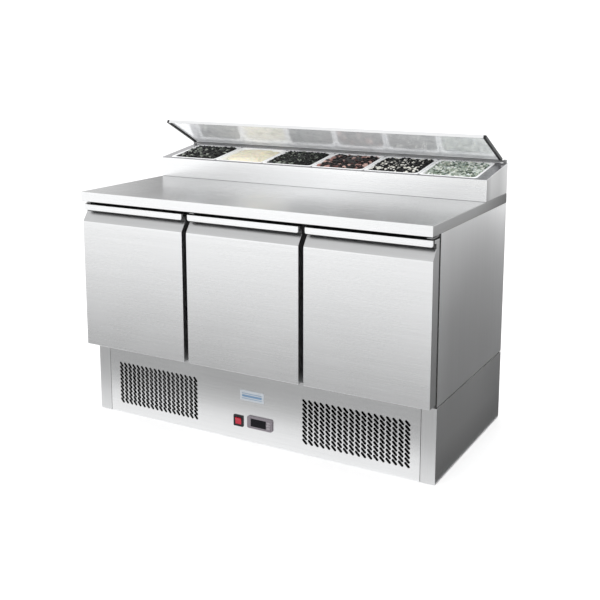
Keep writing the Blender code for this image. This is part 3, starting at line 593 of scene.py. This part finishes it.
def make_pan(number, x):
    def loop(grow, height, radius):
        outline = rounded(
            (x - PAN_HALF_X - grow, PAN_V - PAN_HALF_V - grow),
            (x + PAN_HALF_X + grow, PAN_V + PAN_HALF_V + grow),
            radius,
            6,
        )
        return [on_rim(a, b, PAN_SEAT + height) for a, b in outline]

    # (grow, height, corner radius), up the outside, over the rim and down the inside
    sections = (
        (-0.028, -0.1000, 0.010),
        (-0.014, -0.0992, 0.018),
        (-0.0085, -0.0950, 0.020),
        (-0.0035, -0.0180, 0.017),
        (-0.0010, -0.0040, 0.015),
        (0.0010, 0.0000, 0.012),
        (0.0068, 0.0000, 0.011),
        (0.0075, 0.0006, 0.011),
        (0.0074, 0.0014, 0.011),
        (0.0066, 0.0020, 0.011),
        (0.0052, 0.0022, 0.012),
        (0.0012, 0.0019, 0.014),
        (-0.0012, 0.0012, 0.016),
        (-0.0026, -0.0012, 0.017),
        (-0.0032, -0.0060, 0.018),
        (-0.0046, -0.0180, 0.018),
        (-0.0098, -0.0940, 0.021),
        (-0.0150, -0.0982, 0.018),
        (-0.0280, -0.0988, 0.010),
    )
    piece(
        f"pan_{number}_look",
        lambda bm: loft(bm, [loop(*section) for section in sections]),
        f"pan_body_{number}",
        M["pan"],
        [f"pan_{number}"],
        sharp=60,
        flat=False,
    )


def template(kind, rng):
    """One morsel of food as (points, faces), about 1 unit across."""
    bm = bmesh.new()
    if kind == "ring":
        rings, sides = 12, 6
        loops = []
        squash = rng.uniform(0.75, 1.0)
        for i in range(rings):
            a = 2 * math.pi * i / rings
            out = Vector((math.cos(a), squash * math.sin(a), 0))
            loop = []
            for k in range(sides):
                b = 2 * math.pi * k / sides
                loop.append(out * (0.34 + 0.15 * math.cos(b)) + Vector((0, 0, 0.20 * math.sin(b))))
            loops.append(loop)
        loft(bm, loops, wrap=True)
    else:
        bmesh.ops.create_icosphere(bm, subdivisions=2, radius=0.5)
        shape = {
            "blob": (1.0, 0.78, 0.66),
            "half": (1.0, 0.82, 0.50),
            "shred": (1.15, 0.36, 0.26),
            "cube": (0.92, 0.80, 0.62),
            "bit": (0.54, 0.46, 0.42),
        }[kind]
        seed = Vector([rng.uniform(0, 50) for _ in range(3)])
        for v in bm.verts:
            p = v.co.normalized()
            if kind in ("cube", "bit"):
                p = p / (sum(abs(c) ** 5 for c in p) ** 0.2)
            p *= 0.5 * (1 + 0.30 * (noise.noise(p * 1.7 + seed)) + 0.08 * noise.noise(p * 6 + seed))
            if kind == "half":
                p.z = max(p.z, -0.10)
            v.co = Vector((p.x * shape[0], p.y * shape[1], p.z * shape[2]))
        if kind == "shred":
            bend = rng.uniform(0.4, 1.0)
            for v in bm.verts:
                v.co.z += bend * v.co.x * v.co.x * 0.5
    bmesh.ops.recalc_face_normals(bm, faces=bm.faces)
    bm.verts.ensure_lookup_table()
    points = np.array([v.co[:] for v in bm.verts])
    faces = [[v.index for v in f.verts] for f in bm.faces]
    bm.free()
    return points, faces


def below_lid(height):
    """Eases a height off towards the underside of the closed lid."""
    ease = 0.0015
    return LID_CLEAR - ease * math.log1p(math.exp((LID_CLEAR - height) / ease))


def food_height(u, w, heap, seed):
    """Height over a pan's seat, where u and w go from -1 to 1 across the pan and back along it."""
    fall = 0.42 if w < 0 else 0.0  # the heap stays full at the back
    mound = (heap + 0.006) * (1 - 0.42 * u * u) * (1 - fall * w * w)
    uneven = 0.0030 * noise.noise(Vector((u * 2.4, w * 2.4, seed)))
    return -0.011 + mound + uneven - 0.003 * max(abs(u), abs(w)) ** 6


def bed(bm, x, heap, seed, sink, steps=26, ripple=0.0):
    """The surface under the pieces, or of a smooth filling, as a closed slab."""
    wall = 0.0050  # room for the pan's wall
    reach_x, reach_v = PAN_HALF_X - wall, PAN_HALF_V - wall
    grid = []
    for j in range(steps + 1):
        row = []
        for i in range(steps + 1):
            u, w = 2 * i / steps - 1, 2 * j / steps - 1
            h = food_height(u, w, heap, seed) - sink
            if ripple:
                p = Vector((u * 3.1, w * 2.3, seed))
                h += ripple * (noise.noise(p + Vector((noise.noise(p * 0.7) * 2, 0, 0))))
                h += ripple * 0.5 * noise.noise(p * 2.7) - ripple * 1.6 * max(abs(u), abs(w)) ** 8
            h = below_lid(h)
            # Rounded at the pan's corners, and a little narrower where the food is lower.
            su = u * math.sqrt(1 - 0.06 * w**8) * (1 - 0.030 * max(0.0, -h / 0.02))
            sw = w * math.sqrt(1 - 0.06 * u**8)
            row.append(bm.verts.new(on_rim(x + su * reach_x, PAN_V + sw * reach_v, PAN_SEAT + h)))
        grid.append(row)
    for j in range(steps):
        for i in range(steps):
            bm.faces.new((grid[j][i], grid[j][i + 1], grid[j + 1][i + 1], grid[j + 1][i]))
    rim = (
        grid[0]
        + [row[-1] for row in grid[1:]]
        + grid[-1][-2::-1]
        + [row[0] for row in grid[-2:0:-1]]
    )
    centre = on_rim(x, PAN_V, PAN_SEAT - 0.05)
    low = [bm.verts.new(v.co + (centre - v.co) * 0.10 + Vector((0, 0, -0.035))) for v in rim]
    for i in range(len(rim)):
        j = (i + 1) % len(rim)
        bm.faces.new((rim[i], low[i], low[j], rim[j]))
    bm.faces.new(low)


def paint(obj, tints):
    """Writes one shade per point."""
    layer = obj.data.attributes.new("tint", "FLOAT", "POINT")
    layer.data.foreach_set("value", np.asarray(tints, np.float32))


def scatter(number, kinds, material, tint, size, spread, heap, seed, lift=0.0):
    """Two layers of morsels over a pan, joined in one mesh, with a bed of the same food below."""
    name, body = f"food_{number}", f"pan_body_{number}"
    rng = random.Random(seed)
    x0 = PAN_X[number - 1]
    bank = {kind: [template(kind, rng) for _ in range(4)] for kind, _ in kinds}
    names, weights = [k for k, _ in kinds], [w for _, w in kinds]
    points, faces, tints, total = [], [], [], 0
    margin, wall, jitter, fill = 0.008, 0.0046, 0.42, 0.93
    across = int(2 * (PAN_HALF_X - margin) / spread)
    along = int(2 * (PAN_HALF_V - margin) / spread)

    def held(value, half, reach):
        """Keeps a morsel that reaches this far inside the pan's walls."""
        room = half - wall - reach
        return max(-room, min(room, value))

    for below in (1, 0):
        for j in range(along):
            for i in range(across):
                u = (2 * (i + 0.5 + rng.uniform(-jitter, jitter)) / across - 1) * fill
                w = (2 * (j + 0.5 + rng.uniform(-jitter, jitter)) / along - 1) * fill
                kind = rng.choices(names, weights)[0]
                shape, rings = rng.choice(bank[kind])
                scale = size * rng.uniform(0.78, 1.2)
                turn = Matrix.Rotation(rng.uniform(0, 2 * math.pi), 3, "Z")
                tip = Matrix.Rotation(rng.gauss(0, 0.55), 3, "X")
                tip = tip @ Matrix.Rotation(rng.gauss(0, 0.45), 3, "Y")
                placed = shape @ (np.array(turn @ tip) * scale).T
                h = food_height(u, w, heap, seed) + lift - below * size * 0.34
                h += rng.uniform(-0.12, 0.16) * size
                h = min(h, LID_CLEAR - rng.uniform(0.0, 0.0035) - placed[:, 2].max())
                reach = abs(placed[:, :2]).max(axis=0)
                x = x0 + held(u * PAN_HALF_X, PAN_HALF_X, reach[0])
                v = PAN_V + held(w * PAN_HALF_V, PAN_HALF_V, reach[1])
                points.append(placed + np.array([x, v, PAN_SEAT + h]))
                faces += [[total + k for k in ring] for ring in rings]
                total += len(placed)
                tints.append(np.full(len(placed), tint(rng, kind)))
    rim = np.array(RIM)
    mesh = bpy.data.meshes.new(name)
    mesh.from_pydata((np.concatenate(points) @ rim[:3, :3].T + rim[:3, 3]).tolist(), [], faces)
    mesh.shade_smooth()
    made = place(name, mesh)
    paint(made, np.concatenate(tints))
    wear(made, body, material)
    under = piece(
        f"{name}_bed", lambda bm: bed(bm, x0, heap, seed, size * 0.30), body, material, flat=False
    )
    paint(under, np.full(len(under.data.vertices), 0.12))


def pick(*choices):
    """A shade function: choices are (share, low, high)."""

    def tint(rng, kind):
        roll, at = rng.random(), 0.0
        for share, low, high in choices:
            at += share
            if roll <= at:
                return rng.uniform(low, high)
        return rng.uniform(choices[-1][1], choices[-1][2])

    return tint


def make_food():
    olive = food_material(
        "food_olive",
        [(0.0, (0.002, 0.002, 0.002)), (0.45, (0.005, 0.005, 0.005)), (0.62, (0.022, 0.026, 0.022)),
         (0.80, (0.16, 0.18, 0.15)), (1.0, (0.50, 0.53, 0.47))],
        0.30, coat=0.10,
    )
    scatter(
        1, [("half", 5), ("blob", 3), ("ring", 3)], olive,
        pick((0.66, 0.05, 0.42), (0.18, 0.50, 0.72), (0.16, 0.76, 0.97)),
        size=0.021, spread=0.0145, heap=0.0140, seed=11, lift=0.001,
    )
    cream = food_material(
        "food_cream",
        [(0.0, (0.76, 0.69, 0.50)), (0.5, (0.84, 0.79, 0.63)), (1.0, (0.89, 0.86, 0.74))],
        0.36, coat=0.15, subsurface=0.35, mottled=0.5, wrinkle=0.0004,
    )
    made = piece(
        "food_2",
        lambda bm: bed(bm, PAN_X[1], heap=0.0110, seed=22, sink=0.0, steps=70, ripple=0.0062),
        "pan_body_2",
        cream,
        flat=False,
    )
    paint(made, np.full(len(made.data.vertices), 0.55))
    herb = food_material(
        "food_herb",
        [(0.0, (0.002, 0.002, 0.002)), (0.45, (0.005, 0.007, 0.006)), (0.70, (0.024, 0.034, 0.026)),
         (1.0, (0.36, 0.40, 0.34))],
        0.32, coat=0.08,
    )
    scatter(
        3, [("shred", 4), ("half", 4), ("cube", 2)], herb,
        pick((0.68, 0.05, 0.42), (0.20, 0.45, 0.72), (0.12, 0.80, 0.98)),
        size=0.0145, spread=0.0100, heap=0.0125, seed=33, lift=0.001,
    )
    berry = food_material(
        "food_berry",
        [(0.0, (0.003, 0.002, 0.002)), (0.40, (0.006, 0.004, 0.004)), (0.62, (0.045, 0.016, 0.017)),
         (0.80, (0.30, 0.140, 0.120)), (1.0, (0.74, 0.52, 0.46))],
        0.30, coat=0.10,
    )
    scatter(
        4, [("blob", 6), ("half", 2)], berry,
        pick((0.60, 0.05, 0.42), (0.22, 0.45, 0.68), (0.18, 0.80, 0.98)),
        size=0.0260, spread=0.0175, heap=0.0165, seed=44, lift=0.002,
    )
    ring = food_material(
        "food_ring",
        [(0.0, (0.002, 0.002, 0.002)), (0.55, (0.005, 0.005, 0.006)), (0.70, (0.10, 0.10, 0.09)),
         (0.86, (0.74, 0.73, 0.66)), (1.0, (0.90, 0.89, 0.84))],
        0.30, coat=0.10,
    )

    def ring_tint(rng, kind):
        return rng.uniform(0.04, 0.42) if kind == "ring" else rng.uniform(0.86, 0.98)

    scatter(
        5, [("ring", 68), ("bit", 32)], ring, ring_tint,
        size=0.0190, spread=0.0115, heap=0.0125, seed=55,
    )
    salad = food_material(
        "food_salad",
        [(0.0, (0.05, 0.07, 0.055)), (0.30, (0.18, 0.23, 0.18)), (0.65, (0.42, 0.48, 0.41)),
         (1.0, (0.90, 0.92, 0.88))],
        0.34, coat=0.2, subsurface=0.15,
    )
    scatter(
        6, [("cube", 5), ("shred", 3), ("half", 2)], salad,
        pick((0.26, 0.02, 0.28), (0.44, 0.35, 0.72), (0.30, 0.78, 0.99)),
        size=0.0150, spread=0.0105, heap=0.0105, seed=66, lift=0.001,
    )


# ---------------------------------------------------------------- lid
def make_lid():
    shell = refined("lid_shell", [M["lid"], M["hem"]])
    facing = Matrix.Rotation(SLOPE - LID_OPEN, 3, "X") @ Vector((0.0, -1.0, 0.0))
    sort_faces(shell, (1, lambda face: face.normal.dot(facing) > 0.7))


# ---------------------------------------------------------------- doors
def make_door(number):
    low, high = low_high(f"door_{number}_skin")
    x0, x1, top = low.x, high.x, high.z
    front, back = low.y, high.y - 0.0003
    recess, lip_back, lip_front, cap = -0.328, -0.343, -0.347, top - 0.010
    grip = 0.776  # height of the grip's floor at its back
    outline = filleted(
        [
            (back, low.z, 0.0015),
            (front, low.z, 0.0030),
            (front, 0.741, 0.016),
            (recess, grip, 0.010),
            (recess, cap, 0.004),
            (lip_back, cap, 0.0005),
            (lip_back, top, 0.0005),
            (back, top, 0.0015),
        ],
        5,
    )
    middle = Vector((sum(p[0] for p in outline), sum(p[1] for p in outline))) / len(outline)

    def section(x, shrink):
        """The outline at x, drawn in towards its middle."""
        loop = []
        for y, z in outline:
            away = Vector((y, z)) - middle
            near = Vector((y, z)) - away.normalized() * shrink
            loop.append((x, near.x, near.y))
        return loop

    soft, step = 0.0012, 0.0004
    ends = ((x0, soft), (x0 + step, soft * 0.35), (x0 + soft, 0.0))
    ends += ((x1 - soft, 0.0), (x1 - step, soft * 0.35), (x1, soft))
    panel = piece(
        f"door_{number}_panel",
        lambda bm: loft(bm, [section(*end) for end in ends]),
        f"door_{number}",
        [M["front"], M["recess"], M["shade"], M["deep"], M["door_side"]],
        [f"door_{number}_skin"],
        sharp=50,
    )
    # The door's top edge is black and the grip's hollow near black: painted shadow. The grip's
    # slope and the door's ends are darker: painted shade.
    sort_faces(
        panel,
        (4, lambda face: abs(face.normal.x) > 0.6),
        (2, lambda face: face.center.z > top - 0.001),
        (3, lambda face: face.center.z > grip - 0.002),
        (1, lambda face: face.normal.z > 0.25 and abs(face.normal.x) < 0.5),
    )

    def lip(bm):
        left, right, radius = x0 + 0.0012, x1 - 0.0040, 0.0065
        turns = [math.pi / 2 * k / 5 for k in range(6)]
        bend = [
            (radius * (1 - math.cos(t)), top - 0.022 + radius * (1 - math.sin(t))) for t in turns
        ]
        shape = [(left, top - 0.0005)] + [(left + a, z) for a, z in bend]
        shape += [(right - a, z) for a, z in reversed(bend)] + [(right, top - 0.0005)]
        loft(bm, [[(x, y, z) for x, z in shape] for y in (lip_front, lip_back + 0.0006)])

    piece(f"door_{number}_lip", lip, f"door_{number}", M["lip"], edge=0.0013, segments=4)
    make_door_back(number, (x0, low.z, x1, top), back)


def make_door_back(number, sides, back):
    """Inner door sheet with a raised field, and the seal round it."""
    body = f"door_{number}"
    sheet = (
        (0.003, back - 0.012, 0.003),
        (0.003, back + 0.0001, 0.003),
        (0.030, back + 0.0001, 0.010),
        (0.033, back + 0.0010, 0.012),
        (0.038, back + 0.0050, 0.014),
        (0.042, back + 0.0062, 0.016),
        (0.060, back + 0.0064, 0.020),
        (0.064, back + 0.0052, 0.020),
    )
    piece(
        f"door_{number}_inner",
        lambda bm: loft(bm, [upright(sides, *section) for section in sheet]),
        body,
        M["white"],
        [f"door_{number}_liner"],
        sharp=60,
    )
    low, high = low_high(f"door_{number}_gasket")
    y0, y1 = low.y + 0.0001, high.y
    profile = (
        (0.0, y0), (0.0, y0 + 0.0020), (0.0020, y0 + 0.0034), (0.0012, y0 + 0.0056),
        (0.0004, y0 + 0.0080), (0.0008, y1 - 0.0012), (0.0022, y1), (0.0096, y1),
        (0.0112, y1 - 0.0012), (0.0116, y0 + 0.0080), (0.0100, y0 + 0.0056),
        (0.0098, y0 + 0.0034), (0.0119, y0 + 0.0020), (0.0119, y0),
    )

    def seal(bm):
        around = (low.x, low.z, high.x, high.z)
        loops = [upright(around, inset, y, max(0.0005, 0.004 - inset), 3) for inset, y in profile]
        loft(bm, loops, wrap=True)

    piece(f"{body}_seal", seal, body, M["rubber"], [f"{body}_gasket"], sharp=60)


# ---------------------------------------------------------------- base
VENTS = ((-0.587, -0.229), (0.200, 0.597))  # left and right end of each vent
VENT_LOW, VENT_HIGH = 0.040, 0.197
VENT_ROWS, VENT_COLUMNS = 10, 18
# Cutouts for the switch and the controller: x and z of the middle, width and height.
CUTOUTS = ((-0.055, 0.071, 0.031, 0.032), (0.034, 0.0765, 0.072, 0.030))


def slot_outline(cx, cz, dx, dz, radius):
    """Outline of a slot whose centre line runs from (-dx, +dz) to (+dx, -dz)."""
    angle, steps = math.atan2(-dz, dx), 5
    points = []
    for side in (1, -1):
        for k in range(steps + 1):
            a = angle + (-side * math.pi / 2 + math.pi * k / steps)
            x, z = cx + side * dx + radius * math.cos(a), cz - side * dz + radius * math.sin(a)
            points.append((x, z))
    return points


def plate_with_holes(name, outline, holes, y, thick, soft):
    """A flat sheet in the XZ plane with holes and soft edges, made from a filled curve."""
    curve = bpy.data.curves.new(name, "CURVE")
    curve.dimensions = "2D"
    curve.fill_mode = "BOTH"
    curve.extrude = thick / 2 - soft
    curve.bevel_depth = soft
    curve.bevel_resolution = 1
    curve.offset = -soft
    for points in [outline, *holes]:
        spline = curve.splines.new("POLY")
        spline.points.add(len(points) - 1)
        for slot, (a, b) in zip(spline.points, points):
            slot.co = (a, b, 0.0, 1.0)
        spline.use_cyclic_u = True
    maker = place(name + "_curve", curve)
    bpy.context.view_layer.update()
    flat = maker.evaluated_get(bpy.context.evaluated_depsgraph_get())
    mesh = bpy.data.meshes.new_from_object(flat)
    bpy.data.objects.remove(maker, do_unlink=True)
    mesh.transform(Matrix.Translation((0, y, 0)) @ Matrix.Rotation(math.pi / 2, 4, "X"))
    mesh.materials.clear()
    made = place(name, mesh)
    smooth(made, 40, 50)
    return made


def make_base():
    holes = []
    for left, right in VENTS:
        pitch_x, pitch_z = (right - left) / VENT_COLUMNS, (VENT_HIGH - VENT_LOW) / VENT_ROWS
        radius = 0.262 * pitch_z
        dx, dz = 0.43 * pitch_x - radius, 0.60 * pitch_z - radius
        for i in range(VENT_COLUMNS):
            for j in range(VENT_ROWS):
                x, z = left + (i + 0.5) * pitch_x, VENT_LOW + (j + 0.5) * pitch_z
                holes.append(slot_outline(x, z, dx, dz, radius + 0.0006))
    holes += [corners(x - w / 2, z - h / 2, x + w / 2, z + h / 2) for x, z, w, h in CUTOUTS]
    made = plate_with_holes(
        "base_front_sheet",
        corners(base_low.x, base_low.z, base_high.x, base_high.z),
        holes,
        (base_low.y + base_high.y) / 2,
        0.0015,
        0.0003,
    )
    wear(made, "cabinet", [M["base"], M["deep"]], ["base_front_panel"])

    # The walls of the vent slots are near black: painted shade.
    def in_hole(face):
        x, z = face.center.x, face.center.z
        inside = base_low.x + 0.01 < x < base_high.x - 0.01 and 0.03 < z < 0.21
        return inside and abs(face.normal.y) < 0.9

    sort_faces(made, (1, in_hole))
    # The base sides' fronts take a darker steel, and their top edges and inner faces are black:
    # painted shade.
    for label, outward in (("left", -1), ("right", 1)):
        sort_faces(
            refined(f"base_side_{label}", [M["base_side"], M["post"], M["shade"]]),
            (1, lambda face: face.normal.y < -0.7),
            (2, lambda face: face.normal.z > 0.7 or face.normal.x * outward < -0.7),
        )


# ---------------------------------------------------------------- cabinet
# Nodes that keep their shape and have one material: material, edge width, steps round the edge.
AS_MODELLED = {
    "pan_frame": ("rim", 0.0004, 2),
    "lid_liner": ("liner", 0.0004, 2),
    "lid_end_cap_left": ("black", 0.0008, 2),
    "lid_end_cap_right": ("black", 0.0008, 2),
    "lid_hinge_rod": ("dark", 0.0003, 1),
    **{
        f"door_hinge_{end}_{number}": ("dark", 0.0004, 2)
        for number in (1, 2, 3)
        for end in ("top", "bottom")
    },
    "door_frame": ("frame", 0.0010, 2),
    "back_panel": ("zinc", 0.0004, 2),
    "base_tray": ("tray", 0.0005, 2),
    "worktop_core": ("foam", 0.0010, 2),
    "cabinet_liner": ("white", 0.0005, 2),
    "shelf_rail_front": ("dark", 0.0006, 2),
    "shelf_rail_back": ("dark", 0.0006, 2),
    "evaporator_cover": ("white", 0.0005, 2),
    "evaporator_coil": ("coil", 0.0004, 1),
    "evaporator_fan": ("black", 0.0004, 2),
    "condenser_coil": ("black_fins", 0.0004, 1),
    "condenser_fan": ("grey", 0.0004, 2),
    "condenser_fan_motor": ("dark", 0.0006, 2),
    "compressor": ("enamel", 0.0010, 2),
    "power_inlet": ("black", 0.0004, 2),
    "switch_housing": ("black", 0.0008, 3),
    "switch_rocker": ("red", 0.0007, 3),
    "controller_housing": ("grey", 0.0010, 3),
    "key_up": ("key", 0.0006, 3),
    "key_set": ("key", 0.0006, 3),
    "key_down": ("key", 0.0006, 3),
}


def make_cabinet():
    # The side panels' front returns are near black: painted shade in the door gaps.
    for label in ("left", "right"):
        side = refined(f"side_panel_{label}", [M["side"], M["frame"]])
        sort_faces(side, (1, lambda face: abs(face.normal.y) > 0.7))
    # The back panel's inner face and the insulation's underside are near black: painted shade.
    behind = refined("base_back_panel", [M["zinc"], M["tray"]], 0.0004)
    sort_faces(behind, (1, lambda face: face.normal.y < -0.5))
    sort_faces(
        refined("cabinet_insulation", [M["foam"], M["white"], M["tray"]], 0.0010),
        (1, lambda face: face.normal.y < -0.7),
        (2, lambda face: face.normal.z < -0.7),
    )


def make_shelf(number):
    low, high = low_high(f"shelf_{number}")

    def wires(bm):
        middle = (low.z + high.z) / 2
        r, thin, over, count = 0.0024, 0.0016, 0.0008, 17
        outline = rounded((low.x + r, low.y + r), (high.x - r, high.y - r), 0.012, 4)
        edge = [(x, y, middle) for x, y in outline]
        for start, end in zip(edge, edge[1:] + edge[:1]):
            rod(bm, start, end, r, 8)
        for i in range(1, count):
            x = low.x + (high.x - low.x) * i / count
            rod(bm, (x, low.y + r, middle + over), (x, high.y - r, middle + over), thin, 6)
        for share in (0.33, 0.67):
            y = low.y + (high.y - low.y) * share
            rod(bm, (low.x + r, y, middle - over), (high.x - r, y, middle - over), thin, 6)

    piece(
        f"shelf_{number}_wires",
        wires,
        "cabinet",
        M["white"],
        [f"shelf_{number}"],
        sharp=60,
        flat=False,
    )


# ---------------------------------------------------------------- controller and badge
def make_window():
    low, high = low_high("controller_housing")
    sides = (low.x + 0.0151, low.z + 0.0052, low.x + 0.0775, high.z - 0.0052)
    front = low.y + 0.0004
    levels = ((0.0, 0.0010), (0.0, 0.0003), (0.0004, 0.0), (0.004, -0.0001))

    def window(bm):
        loft(bm, [upright(sides, inset, front + depth, 0.0025) for inset, depth in levels])

    piece("controller_window", window, "cabinet", M["glass"])


def make_badge():
    """A plain plate with three plain bars."""
    y = base_low.y
    x0, z0, x1, z1 = -0.047, 0.150, 0.050, 0.188
    margin = 0.008
    levels = ((0.0, 0.0002), (0.0, 0.0008), (0.0003, 0.0011), (0.0012, 0.0012))

    def plate(bm):
        sides = (x0, z0, x1, z1)
        loft(bm, [upright(sides, inset, y - height, 0.002) for inset, height in levels])

    def bars(bm):
        for rise, thick in ((0.0080, 0.0020), (0.0140, 0.0080), (0.0260, 0.0020)):
            sides = (x0 + margin, z0 + rise, x1 - margin, z0 + rise + thick)
            loft(bm, [upright(sides, 0.0, y - height, thick * 0.4) for height in (0.0011, 0.0015)])

    piece("badge_plate", plate, "cabinet", M["badge"])
    piece("badge_stripe", bars, "cabinet", M["badge_band"], edge=0.0001)


# ---------------------------------------------------------------- back
BACK_Y = 0.3520  # outside of the back panels
LOUVRES = [(x, 0.100 + row * 0.030) for x in (-0.42, -0.14, 0.14, 0.42) for row in range(4)]


def make_back():
    def hoods(bm):
        profile = ((0.3515, 0.020), (0.3515, 0.0120), (0.3588, 0.0066))
        profile += ((0.3592, 0.0070), (0.3590, 0.0092), (0.3550, 0.0165))
        for x, z in LOUVRES:
            loft(bm, [[(x + side, y, z + rise) for y, rise in profile] for side in (-0.103, 0.103)])

    # Thin black boxes behind the louvres: painted shade in their openings.
    def slits(bm):
        for x, z in LOUVRES:
            box(bm, (x - 0.101, 0.3513, z + 0.0005), (x + 0.101, 0.3519, z + 0.0085))

    def screws(bm):
        columns, rows = (-0.66, -0.33, 0.0, 0.33, 0.66), (0.275, 0.795, 0.018, 0.240)
        places = [(x, z) for x in columns for z in rows]
        places += [(x, z) for z in (0.40, 0.53, 0.66) for x in (columns[0], columns[-1])]
        turns = [math.tau * k / 14 for k in range(14)]
        profile = ((0.0042, 0.0), (0.0042, 0.0005), (0.0036, 0.0014), (0.0022, 0.0020))
        for x, z in places:
            loops = []
            for r, rise in profile:
                y = BACK_Y + rise
                loops.append([(x + r * math.cos(a), y, z + r * math.sin(a)) for a in turns])
            loft(bm, loops)

    piece("back_louvre_hoods", hoods, "cabinet", M["hood"], edge=0.0004)
    piece("back_louvre_slit_shade", slits, "cabinet", M["shade"])
    piece("back_screws", screws, "cabinet", M["rim"], sharp=60, flat=False)


# ---------------------------------------------------------------- studio
def rectangle(name, low, high, material):
    """A level or upright rectangle of the studio, given by two opposite corners."""
    (x0, y0, z0), (x1, y1, z1) = low, high
    mesh = bpy.data.meshes.new(name)
    mesh.from_pydata([(x0, y0, z0), (x1, y0, z0), (x1, y1, z1), (x0, y1, z1)], [], [(0, 1, 2, 3)])
    mesh.materials.append(material)
    made = place(name, mesh)
    return made


def card(name, low, high, axis, stops):
    """A glowing card seen only in reflections. Stops are (metres, grey) along one axis."""
    graph = Graph(name)
    glow = graph.add("Emission")
    graph.join(graph.along(axis, stops), glow.inputs["Color"])
    graph.join(glow.outputs[0], graph.tree.nodes["Material Output"].inputs["Surface"])
    graph.tree.nodes.remove(graph.shader)
    made = rectangle(name, low, high, graph.material)
    made.visible_camera = False
    made.visible_diffuse = False
    made.visible_shadow = False
    made.visible_transmission = False


def area_light(name, at, aim, size, power):
    """A soft light from a rectangle, not seen in reflections."""
    data = bpy.data.lights.new(name, "AREA")
    data.shape = "RECTANGLE"
    data.size, data.size_y = size
    data.energy = power
    made = place(name, data)
    made.location = at
    made.rotation_euler = (Vector(aim) - Vector(at)).to_track_quat("-Z", "Y").to_euler()
    made.visible_glossy = False


def make_studio():
    scene = bpy.context.scene
    scene.view_settings.view_transform = "Standard"
    scene.world = bpy.data.worlds.new("studio")
    scene.world.use_nodes = True
    sky = scene.world.node_tree.nodes["Background"]
    sky.inputs["Color"].default_value = WHITE
    sky.inputs["Strength"].default_value = 1.12

    floor = Graph("floor_paper")
    grain = floor.noise(35.0, 3.0, 0.6)
    floor.set(
        Base_Color=floor.mix(grain, (0.90, 0.90, 0.90), (0.93, 0.93, 0.93)),
        Roughness=floor.span(grain, 0.75, 0.9),
        Normal=floor.bump(grain, 0.1, 0.001),
        Emission_Color=WHITE,
        Emission_Strength=0.15,
    )
    rectangle("floor", (-40.0, -40.0, -0.0005), (40.0, 40.0, -0.0005), floor.material)

    # Two cards lie on the floor, in front and at the right. One stands behind and one in front.
    card(
        "card_front",
        (-4, -3.6, 0.001),
        (0.72, -0.295, 0.001),
        Y,
        [(-3.6, 1.0), (-2.2, 0.84), (-1.2, 0.50), (-0.80, 0.36), (-0.60, 0.50), (-0.45, 0.86),
         (-0.30, 0.98)],
    )
    card(
        "card_side",
        (0.686, -0.6, 0.0012),
        (4.5, 5.0, 0.0012),
        X,
        [(0.68, 0.16), (1.2, 0.16), (2.6, 0.42), (4.5, 0.9)],
    )
    card(
        "card_back",
        (-4.4, 3.0, 0.9),
        (0.6, 3.0, 2.1),
        X,
        [(-4.4, 0.85), (-3.5, 0.80), (-2.8, 0.42), (-2.3, 0.60), (-1.8, 0.85), (-0.9, 0.55),
         (0.6, 0.50)],
    )
    card(
        "card_ahead",
        (-1.6, -5.6, 0.0),
        (2.0, -5.6, 1.4),
        Z,
        [(0.0, 0.66), (0.5, 0.76), (1.0, 0.68), (1.4, 0.95)],
    )
    area_light("key", (-2.6, -3.2, 3.4), (0, 0, 0.5), (2.6, 2.0), 40)
    area_light("fill", (2.8, -2.6, 2.6), (0, 0, 0.6), (2.0, 2.0), 20)
    area_light("over", (0.0, 0.3, 3.6), (0, 0, 0.6), (3.0, 2.0), 20)

    camera = bpy.data.cameras.new("camera")
    camera.lens = 57.2
    camera.sensor_width = 36.0
    camera.shift_y = -0.15
    camera.clip_end = 100.0
    scene.camera = place("camera", camera)
    scene.camera.location = (1.6877, -2.966, 1.3822)
    scene.camera.rotation_euler = (math.radians(90 - 9.93), 0.0, math.radians(29.19))


# ---------------------------------------------------------------- everything
make_studio()
make_worktop()
make_hopper()
for index, centre in enumerate(PAN_X, 1):
    make_pan(index, centre)
make_food()
make_lid()
for index in (1, 2, 3):
    make_door(index)
make_base()
make_cabinet()
for index in (1, 2, 3):
    make_shelf(index)
make_window()
make_badge()
make_back()
for node, (material, edge, segments) in AS_MODELLED.items():
    refined(node, M[material], edge, segments)

bpy.context.view_layer.update()
